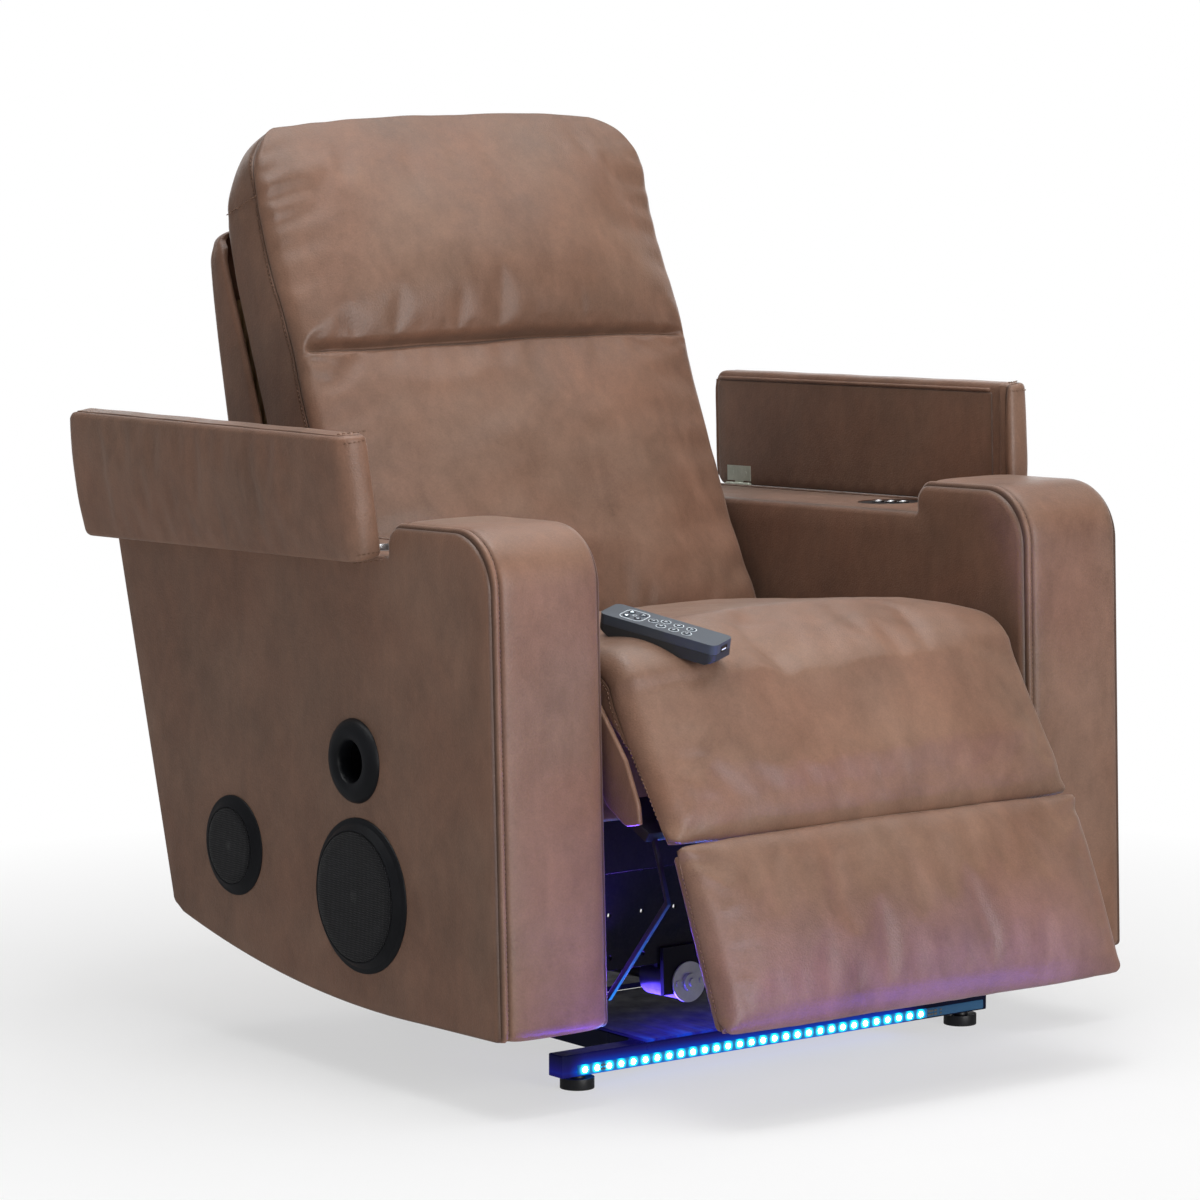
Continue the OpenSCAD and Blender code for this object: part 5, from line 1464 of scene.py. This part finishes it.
def build_flap():
    """The leather flap that hangs behind the chaise pad, stapled to the seat's front rail."""
    nx, nz = 80, 26
    w, ztop, zbot = 283.0, 400.0, 281.0
    x = np.linspace(-w, w, nx)
    V, rest = [], []
    for lay_ in (0, 1):
        for j in range(nz):
            t = j / (nz - 1)
            z = ztop + (zbot - ztop) * t
            y = -390.5 - 2.4 * t + 1.6 * np.sin(x / 47.0 + 0.7) * t + 0.9 * np.sin(x / 19.0 + 2) * t * t - lay_ * -1.6
            zz = np.full(nx, z) + 1.2 * np.sin(x / 60.0) * t
            V.append(np.column_stack([x, y, zz]))
    V = np.vstack(V)
    n = nx * nz
    f1 = grid_faces(nz, nx, closed=False)
    f2 = [[a + n for a in q[::-1]] for q in f1]
    ring = list(range(nx)) + [j * nx + nx - 1 for j in range(1, nz)] + [(nz - 1) * nx + i for i in range(nx - 2, -1, -1)] + [j * nx for j in range(nz - 2, 0, -1)]
    f3 = [(ring[k], ring[(k + 1) % len(ring)], ring[(k + 1) % len(ring)] + n, ring[k] + n) for k in range(len(ring))]
    # painted shade along a line near the bottom hem of the flap
    hem_shade = np.tile(np.repeat(gauss(np.arange(nz), nz - 4, 1.0) * 0.8, nx), 2)
    ob = mk("seat_front_flap", V, f1 + f2 + f3, mat=M["leather"], attrs=dict(seam_shade=hem_shade, edge=np.zeros(len(V))))
    outward(ob)
    dress(ob, "body")
    return ob


def tube(name, P, r, to, mat, k=10, attrs=False):
    P = np.asarray(P, float)
    T = tangents(P)
    up = np.array([0, 0, 1.0])
    G = []
    rr = np.broadcast_to(r, (len(P),))
    for p, t, q in zip(P, T, rr):
        a = np.cross(t, up)
        if np.linalg.norm(a) < 0.1:
            a = np.cross(t, [1.0, 0, 0])
        a /= np.linalg.norm(a)
        b = np.cross(t, a)
        an = np.arange(k) * 2 * math.pi / k
        G.append(p + q * (np.cos(an)[:, None] * a + np.sin(an)[:, None] * b))
    ob = loft(name, np.array(G), to=to, mat=mat)
    sharp(ob, 55)
    return ob


# ------------------------------------------------------------------ lights of the front bar
LED_X = np.array([-279 + i * 16.67 for i in range(30)])


def build_led():
    def strip_mat():
        t = NT("led_sleeve")
        v = t.coords("object")
        sep = t.n("ShaderNodeSeparateXYZ")
        t.l(v, sep.inputs[0])
        x0 = (LED_X[0] + FX) / 1000
        p = 0.01667
        ph = t.math("DIVIDE", t.math("SUBTRACT", sep.outputs[0], x0 - p / 2), p)
        fr = t.math("SUBTRACT", t.math("FRACT", ph), 0.5)
        dx = t.math("MULTIPLY", fr, p)
        dz = t.math("SUBTRACT", sep.outputs[2], 0.0225)
        d2 = t.math("ADD", t.math("MULTIPLY", dx, dx), t.math("MULTIPLY", dz, dz))
        d = t.math("SQRT", d2)
        g = t.maprange(d, 0.0025, 0.0085, 1.0, 0.0)
        g = t.math("POWER", g, 1.6, clamp=True)
        on = t.math("LESS_THAN", sep.outputs[0], (LED_X[-1] + 9.5 + FX) / 1000)
        g = t.math("MULTIPLY", g, on)
        n = t.noise(v, 260, 3)
        col = t.ramp(g, [(0.0, (0.0, 0.16, 0.42)), (0.4, (0.0, 0.42, 0.75)), (1.0, (0.12, 0.85, 1.0))])
        t.l(col, t.b.inputs["Emission Color"])
        t.l(t.math("ADD", t.math("MULTIPLY", g, 5.0), t.math("MULTIPLY", t.math("MULTIPLY", n, on), 1.1)), t.b.inputs["Emission Strength"])
        t.b.inputs["Base Color"].default_value = (0.03, 0.10, 0.2, 1)
        t.set(Roughness=0.25)
        return t.m

    sm = strip_mat()
    y, z = -369.3, 22.5
    xs = np.r_[-287.2, -287, np.linspace(-286, 299, 120), 299.8, 300]
    prof = np.array([(0, -5.2), (-1.1, -5.1), (-1.5, -4.4), (-1.6, 0), (-1.5, 4.4), (-1.1, 5.1), (0, 5.2), (1.15, 5.2), (1.15, -5.2)], float)
    G = []
    for i, x in enumerate(xs):
        k = 0.82 if i in (0, len(xs) - 1) else 1.0
        G.append(np.column_stack([np.full(len(prof), x), y + prof[:, 0], z + prof[:, 1] * k]))
    ob = loft("led_strip_sleeve", np.array(G), to=floored, mat=sm)
    sharp(ob, 50)
    dress(ob, "base", replaces=["led_strip"], rest=False)
    ob.visible_diffuse = False
    V, F = [], []
    for x in LED_X:
        for q, (rad, h) in enumerate(((2.75, 0.0), (2.75, -0.9), (2.2, -1.5), (1.2, -1.8))):
            for j in range(12):
                a = j * math.pi / 6
                cx, cz = math.cos(a), math.sin(a)
                sc_ = 1 / max(abs(cx), abs(cz)) ** 0.35
                V.append((x + rad * cx * sc_, y - 1.4 + h, z + rad * cz * sc_))
        b = len(V) - 48
        for q in range(3):
            for j in range(12):
                F.append((b + q * 12 + j, b + q * 12 + (j + 1) % 12, b + (q + 1) * 12 + (j + 1) % 12, b + (q + 1) * 12 + j))
        F.append(tuple(b + 36 + j for j in range(12)))
        F.append(tuple(b + j for j in range(12))[::-1])
    ob = mk("led_lenses", V, F, to=floored, mat=M["led"])
    outward(ob)
    ob.visible_diffuse = False
    dress(ob, "base", rest=False)
    # small parts on the strip: solder pads after the second light and after the last one
    V, F = [], []
    for cx, wd, hh in ((-254.2 - 2.0, 1.6, 1.1), (-254.2 + 2.0, 1.6, 1.1), (LED_X[-1] + 12.5, 2.6, 1.0), (LED_X[-1] + 17.0, 1.4, 1.0), (LED_X[-1] + 22.0, 2.2, 1.2), (LED_X[-1] + 30, 1.2, 0.9)):
        for s_ in (-1, 1):
            a = box_v(cx - wd, cx + wd, y - 2.2, y - 1.3, z + s_ * 2.0 - hh, z + s_ * 2.0 + hh)
            b = len(V)
            V += a
            F += [tuple(b + i for i in f) for f in BOX_F]
    ob = mk("led_strip_pads", V, F, to=floored, mat=M["screw"], smooth=False)
    dress(ob, "base", rest=False)


BOX_F = [(0, 1, 3, 2), (4, 6, 7, 5), (0, 4, 5, 1), (2, 3, 7, 6), (0, 2, 6, 4), (1, 5, 7, 3)]


def box_v(x0, x1, y0, y1, z0, z1):
    return [(x, y, z) for x in (x0, x1) for y in (y0, y1) for z in (z0, z1)]


# ------------------------------------------------------------------ handset details
HS_BTN = [(-6.5, 46), (6.5, 46), (-6.5, 32), (6.5, 32), (0, 16), (-8, 2), (7, 4), (-8, -14), (7, -12), (-8, -30), (7, -28)]


def flat_ring(V, F, pts, w, z, h=0.14):
    """A thin printed line of width w round a closed 2-D outline."""
    pts = np.asarray(pts, float)
    a, b_ = inset(ccw(pts), w / 2), inset(ccw(pts), -w / 2)
    n = len(pts)
    b = len(V)
    for q, zz in ((b_, z), (b_, z + h), (a, z + h), (a, z)):
        V += [(p[0], p[1], zz) for p in q]
    for k in range(4):
        k2 = (k + 1) % 4
        for i in range(n):
            F.append((b + k * n + i, b + k * n + (i + 1) % n, b + k2 * n + (i + 1) % n, b + k2 * n + i))


def build_handset():
    V, F = [], []
    rr = 5.4
    # one outline round the group of four keys
    out = np.vstack([arc(6.5, 45.5, 7.4, -8, 98, 10), arc(-6.5, 45.5, 7.4, 82, 188, 10), arc(-6.5, 32.5, 7.4, 172, 278, 10), arc(6.5, 32.5, 7.4, 262, 368, 10)])
    flat_ring(V, F, out, 0.8, 0.02)
    flat_ring(V, F, arc(0, 39, 2.2, 0, 360, 20)[:-1], 0.5, 0.02)
    for i, (x, y) in enumerate(HS_BTN):
        if i >= 4:
            flat_ring(V, F, arc(x, y, rr, 0, 360, 28)[:-1], 0.75 if i > 4 else 0.6, 0.02)
    ob = mk("handset_key_outlines", V, F, to=handset, mat=M["white"], smooth=False)
    outward(ob)
    dress(ob, "handset", rest=False)
    # key marks: small raised arrows and bars; each rides on its own key
    for i, (x, y) in enumerate(HS_BTN):
        v, f = [], []
        z = 0.58
        if i in (0, 2, 5, 7, 9):
            tri = [(x - 1.7, y - 1.0), (x + 1.7, y - 1.0), (x, y + 1.6)]
        elif i in (1, 3, 6, 8, 10):
            tri = [(x - 1.7, y + 1.0), (x, y - 1.6), (x + 1.7, y + 1.0)]
        else:
            tri = [(x - 0.5, y - 1.8), (x + 0.5, y - 1.8), (x + 0.5, y + 1.8), (x - 0.5, y + 1.8)]
        flat_ring(v, f, tri, 0.5, z, 0.12)
        o = mk(f"key_mark_{i + 1}", v, f, to=handset, mat=M["hot"] if i in (0, 1) else M["white"], smooth=False)
        outward(o)
        dress(o, f"key_{i + 1}", rest=False)
    # socket in the near end: a frame and a tongue
    V, F = [], []
    yb = -72.5
    for (x0, x1, z0, z1) in ((-6.6, 6.6, -10.4, -9.6), (-6.6, 6.6, -4.6, -3.8), (-6.6, -5.8, -10.4, -3.8), (5.8, 6.6, -10.4, -3.8)):
        b = len(V)
        V += box_v(x0, x1, yb - 0.5, yb + 0.8, z0, z1)
        F += [tuple(b + i for i in f) for f in BOX_F]
    ob = mk("handset_socket_frame", V, F, to=handset, mat=M["motor"], smooth=False)
    outward(ob)
    dress(ob, "handset", rest=False)
    ob = mk("handset_socket_well", box_v(-5.8, 5.8, yb - 0.15, yb + 0.6, -9.6, -4.6), BOX_F, to=handset, mat=M["gloss"], smooth=False)
    outward(ob)
    dress(ob, "handset", rest=False)
    ob = mk("handset_socket_tongue", box_v(-4.4, 4.4, yb - 0.4, yb + 0.6, -8.8, -7.4), BOX_F, to=handset, mat=M["white"], smooth=False)
    outward(ob)
    dress(ob, "handset", rest=False)


# ------------------------------------------------------------------ hard parts kept from the CAD
def finish_cad(name, mat, bevel=0.0, seg=2, angle=35):
    ob = NODES[name]
    ob.data.materials.clear()
    ob.data.materials.append(mat)
    w = ob.modifiers.new("weld", "WELD")
    w.merge_threshold = 0.000005
    if bevel:
        b = ob.modifiers.new("bevel", "BEVEL")
        b.width = bevel / 1000
        b.segments = seg
        b.limit_method = "ANGLE"
        b.angle_limit = math.radians(angle)
        b.harden_normals = False
        b.use_clamp_overlap = True
    return ob


def build_hard():
    F = finish_cad
    F("base_frame", M["bar"], 1.6, 3)
    F("front_pan", M["pan"], 0.5)
    F("glide_feet", M["black"], 1.0, 3)
    F("tilt_brackets", M["pan"], 0.8)
    F("mechanism_frame", M["steel"], 0.7)
    F("seat_rails", M["rail"], 1.5)
    F("seat_springs", M["spring"])
    F("cup_holder", M["cup"], 0.5)
    F("control_panel", M["black"], 0.6, 3)
    for i in (1, 2, 3):
        F(f"panel_button_{i}", M["gloss"], 0.9, 3)
        nb = NODES[f"panel_button_{i}"]
        P = np.array([nb.matrix_world @ Vector(c) for c in nb.bound_box]) * 1000
        c, q = P.mean(0), (P.max(0) - P.min(0))[:2].mean() / 2
        a = np.radians(np.arange(0, 361, 10))
        rim = tube(f"panel_button_rim_{i}", np.column_stack([c[0] + (q + 0.9) * np.cos(a), c[1] + (q + 0.9) * np.sin(a), np.full(37, P[:, 2].max() - 0.6)]), 0.75, lambda p: np.asarray(p, float) / 1000, M["chrome"], k=8)
        dress(rim, "body", rest=False)
    F("speaker_rings", M["ring"], 0.5, 2)
    F("speaker_grilles", M["grille"], 0.0)
    F("speaker_drivers", M["black"], 0.5)
    F("bass_ports", M["gloss"], 0.5)
    F("lid_hinge_bases", M["hinge"], 0.3)
    F("actuators", M["flange"], 0.6)
    F("electronics_boxes", M["black"], 1.2, 3)
    for s in ("right", "left"):
        F(f"lid_{s}_leaves", M["hinge"], 0.25)
    F("footrest_arms", M["arms"], 0.7)
    F("footrest_nut", M["nut"], 1.0)
    F("recline_nut", M["nut"], 1.0)
    F("back_frame", M["wood"], 1.2)
    F("headrest_frame", M["steel"], 0.6)
    F("handset_top_shell", M["hs_top"], 1.1, 3, 50)
    F("handset_bottom_shell", M["hs_bot"], 1.0, 3, 25)
    for i in range(1, 12):
        F(f"handset_button_{i}", M["hs_key"], 0.7, 3)


# ------------------------------------------------------------------ camera, lights, floor
def look_at(ob, p, d, up=(0, 0, 1)):
    f = Vector(d).normalized()
    r = f.cross(Vector(up)).normalized()
    u = r.cross(f)
    m = Matrix((r, u, -f)).transposed().to_4x4()
    m.translation = Vector(p)
    ob.matrix_world = m


def build_stage():
    cam = bpy.data.cameras.new("camera")
    co = bpy.data.objects.new("camera", cam)
    COLL.objects.link(co)
    cam.lens = 150.0
    cam.sensor_width = 36.0
    cam.sensor_fit = "AUTO"
    cam.clip_end = 100
    P = Vector(((-3505.476 + FX) / 1000, (-4624.955 + FY) / 1000, 1.201053))
    look_at(co, P, (0.60211, 0.78883, -0.12330))
    bpy.context.scene.camera = co

    # floor: pale and matt round the chair, fading into pure studio white
    t = NT("floor_pale")
    v = t.coords("object")
    n = t.noise(v, 3.0, 3)
    t.l(t.mix(t.maprange(n, 0.3, 0.7, 0, 1), (0.80, 0.80, 0.80), (0.785, 0.785, 0.787)), t.b.inputs["Base Color"])
    t.l(t.bump(t.noise(v, 120, 3), 0.0002, 0.2), t.b.inputs["Normal"])
    t.set(Roughness=0.8, Specular_IOR_Level=0.1)
    ln = t.n("ShaderNodeVectorMath", operation="LENGTH")
    t.l(v, ln.inputs[0])
    far = t.maprange(ln.outputs["Value"], 0.70, 1.50, 0.57, 1.0)
    em = t.n("ShaderNodeEmission")
    em.inputs[0].default_value = (1, 1, 1, 1)
    em.inputs[1].default_value = 1.0
    ms = t.n("ShaderNodeMixShader")
    t.l(far, ms.inputs[0])
    t.l(t.b.outputs[0], ms.inputs[1])
    t.l(em.outputs[0], ms.inputs[2])
    t.l(ms.outputs[0], t.out.inputs[0])
    nseg = 48
    R = 16.0
    V = [(0, 0, 0)] + [(R * math.cos(2 * math.pi * i / nseg), R * math.sin(2 * math.pi * i / nseg), 0) for i in range(nseg)]
    Fc = [(0, 1 + i, 1 + (i + 1) % nseg) for i in range(nseg)]
    me = bpy.data.meshes.new("floor")
    me.from_pydata(V, [], Fc)
    me.materials.append(t.m)
    fl = bpy.data.objects.new("floor", me)
    COLL.objects.link(fl)
    fl.location = (0, 0, -0.0004)
    fl.visible_glossy = FLOOR_GLOSSY
    fl.visible_camera = True

    # white backdrop all round, seen by the camera only
    tw = NT("backdrop_white")
    em = tw.n("ShaderNodeEmission")
    em.inputs[0].default_value = (1, 1, 1, 1)
    em.inputs[1].default_value = 1.0
    tw.l(em.outputs[0], tw.out.inputs[0])
    V = [(15.0 * math.cos(2 * math.pi * i / nseg), 15.0 * math.sin(2 * math.pi * i / nseg), z) for z in (-0.02, 12.0) for i in range(nseg)]
    Fc = [(i, (i + 1) % nseg, nseg + (i + 1) % nseg, nseg + i) for i in range(nseg)] + [tuple(range(nseg, 2 * nseg))]
    me = bpy.data.meshes.new("backdrop")
    me.from_pydata(V, [], Fc)
    me.materials.append(tw.m)
    bd = bpy.data.objects.new("backdrop", me)
    COLL.objects.link(bd)
    bd.visible_diffuse = bd.visible_glossy = bd.visible_shadow = bd.visible_transmission = False

    # a low white wall behind the chair that only mirrors in glancing leather
    tg = NT("mirror_wall_white")
    em = tg.n("ShaderNodeEmission")
    em.inputs[0].default_value = (1, 1, 1, 1)
    em.inputs[1].default_value = 1.6
    tg.l(em.outputs[0], tg.out.inputs[0])
    c, r_, u_ = Vector((2.6, 3.4, 1.3)), Vector((0.795, -0.607, 0.0)), Vector((0, 0, 1.0))
    me = bpy.data.meshes.new("mirror_wall")
    me.from_pydata([tuple(c + r_ * a * 3.2 + u_ * b * 1.25) for a, b in ((-1, -1), (1, -1), (1, 1), (-1, 1))], [], [(0, 1, 2, 3)])
    me.materials.append(tg.m)
    mw = bpy.data.objects.new("mirror_wall", me)
    COLL.objects.link(mw)
    mw.visible_camera = mw.visible_diffuse = mw.visible_shadow = mw.visible_transmission = False

    # world: an even pale studio
    w = bpy.data.worlds.new("studio")
    bpy.context.scene.world = w
    w.use_nodes = True
    bg = w.node_tree.nodes["Background"]
    bg.inputs[0].default_value = (1.0, 1.0, 1.0, 1)
    bg.inputs[1].default_value = WORLD

    def area(name, loc, target, size, power, color=(1, 1, 1), size_y=None, spread=180, shadow=True, glossy=True):
        d = bpy.data.lights.new(name, "AREA")
        d.energy = power
        d.color = color
        d.shape = "RECTANGLE" if size_y else "SQUARE"
        d.size = size
        if size_y:
            d.size_y = size_y
        d.spread = math.radians(spread)
        d.use_shadow = shadow
        d.specular_factor = 1.0 if glossy else 0.0
        o = bpy.data.objects.new(name, d)
        o.visible_camera = False
        COLL.objects.link(o)
        look_at(o, loc, Vector(target) - Vector(loc), (0, 0.01, 1))
        return o

    for a in LIGHTS:
        area(*a[0], **a[1])
    sc = bpy.context.scene
    sc.view_settings.view_transform = "Standard"
    sc.view_settings.look = "None"
    sc.view_settings.exposure = 0.0
    sc.view_settings.gamma = 1.0


WORLD = 0.145
FLOOR_GLOSSY = False
LIGHTS = [
    (("top_soft", (0.3, 0.1, 3.4), (0.0, 0.0, 0.4), 4.4, 108.0), {}),
    (("top_near", (-0.15, -0.22, 2.5), (-0.15, -0.22, 0.5), 1.5, 2.4), dict(size_y=0.9, spread=50)),
    (("front_soft", (0.1, -4.4, 1.3), (0.0, 0.0, 0.5), 2.4, 125.0), {}),
    (("glow_pan", (0.03, -0.14, 0.052), (0.03, -0.30, 0.6), 0.42, 2.5, (0.10, 0.06, 1.0)), dict(size_y=0.10, spread=150)),
    (("glow_front", (0.02, -0.262, 0.030), (0.02, -0.34, 0.40), 0.56, 0.8, (0.02, 0.22, 1.0)), dict(size_y=0.02, spread=120)),
    (("glow_gap", (-0.22, -0.20, 0.12), (-0.27, -0.34, 0.45), 0.10, 1.6, (0.17, 0.06, 1.0)), dict(size_y=0.10, spread=140)),
    (("glow_pad", (-0.05, -0.62, 0.015), (-0.05, -0.56, 0.25), 0.60, 1.25, (0.13, 0.07, 1.0)), dict(size_y=0.05, spread=110)),
    (("glow_arm", (-0.30, -0.36, 0.015), (-0.31, -0.32, 0.25), 0.12, 0.24, (0.12, 0.04, 1.0)), dict(size_y=0.05, spread=120)),
]

# ------------------------------------------------------------------ put it together
build_hard()
for s_, tag_ in ((-1, "right"), (1, "left")):
    build_arm(s_, tag_)
    build_lid(s_, tag_)
build_back()
build_seat()
build_plate_wraps()
build_outside_back()
build_flap()
build_led()
build_handset()
build_stage()
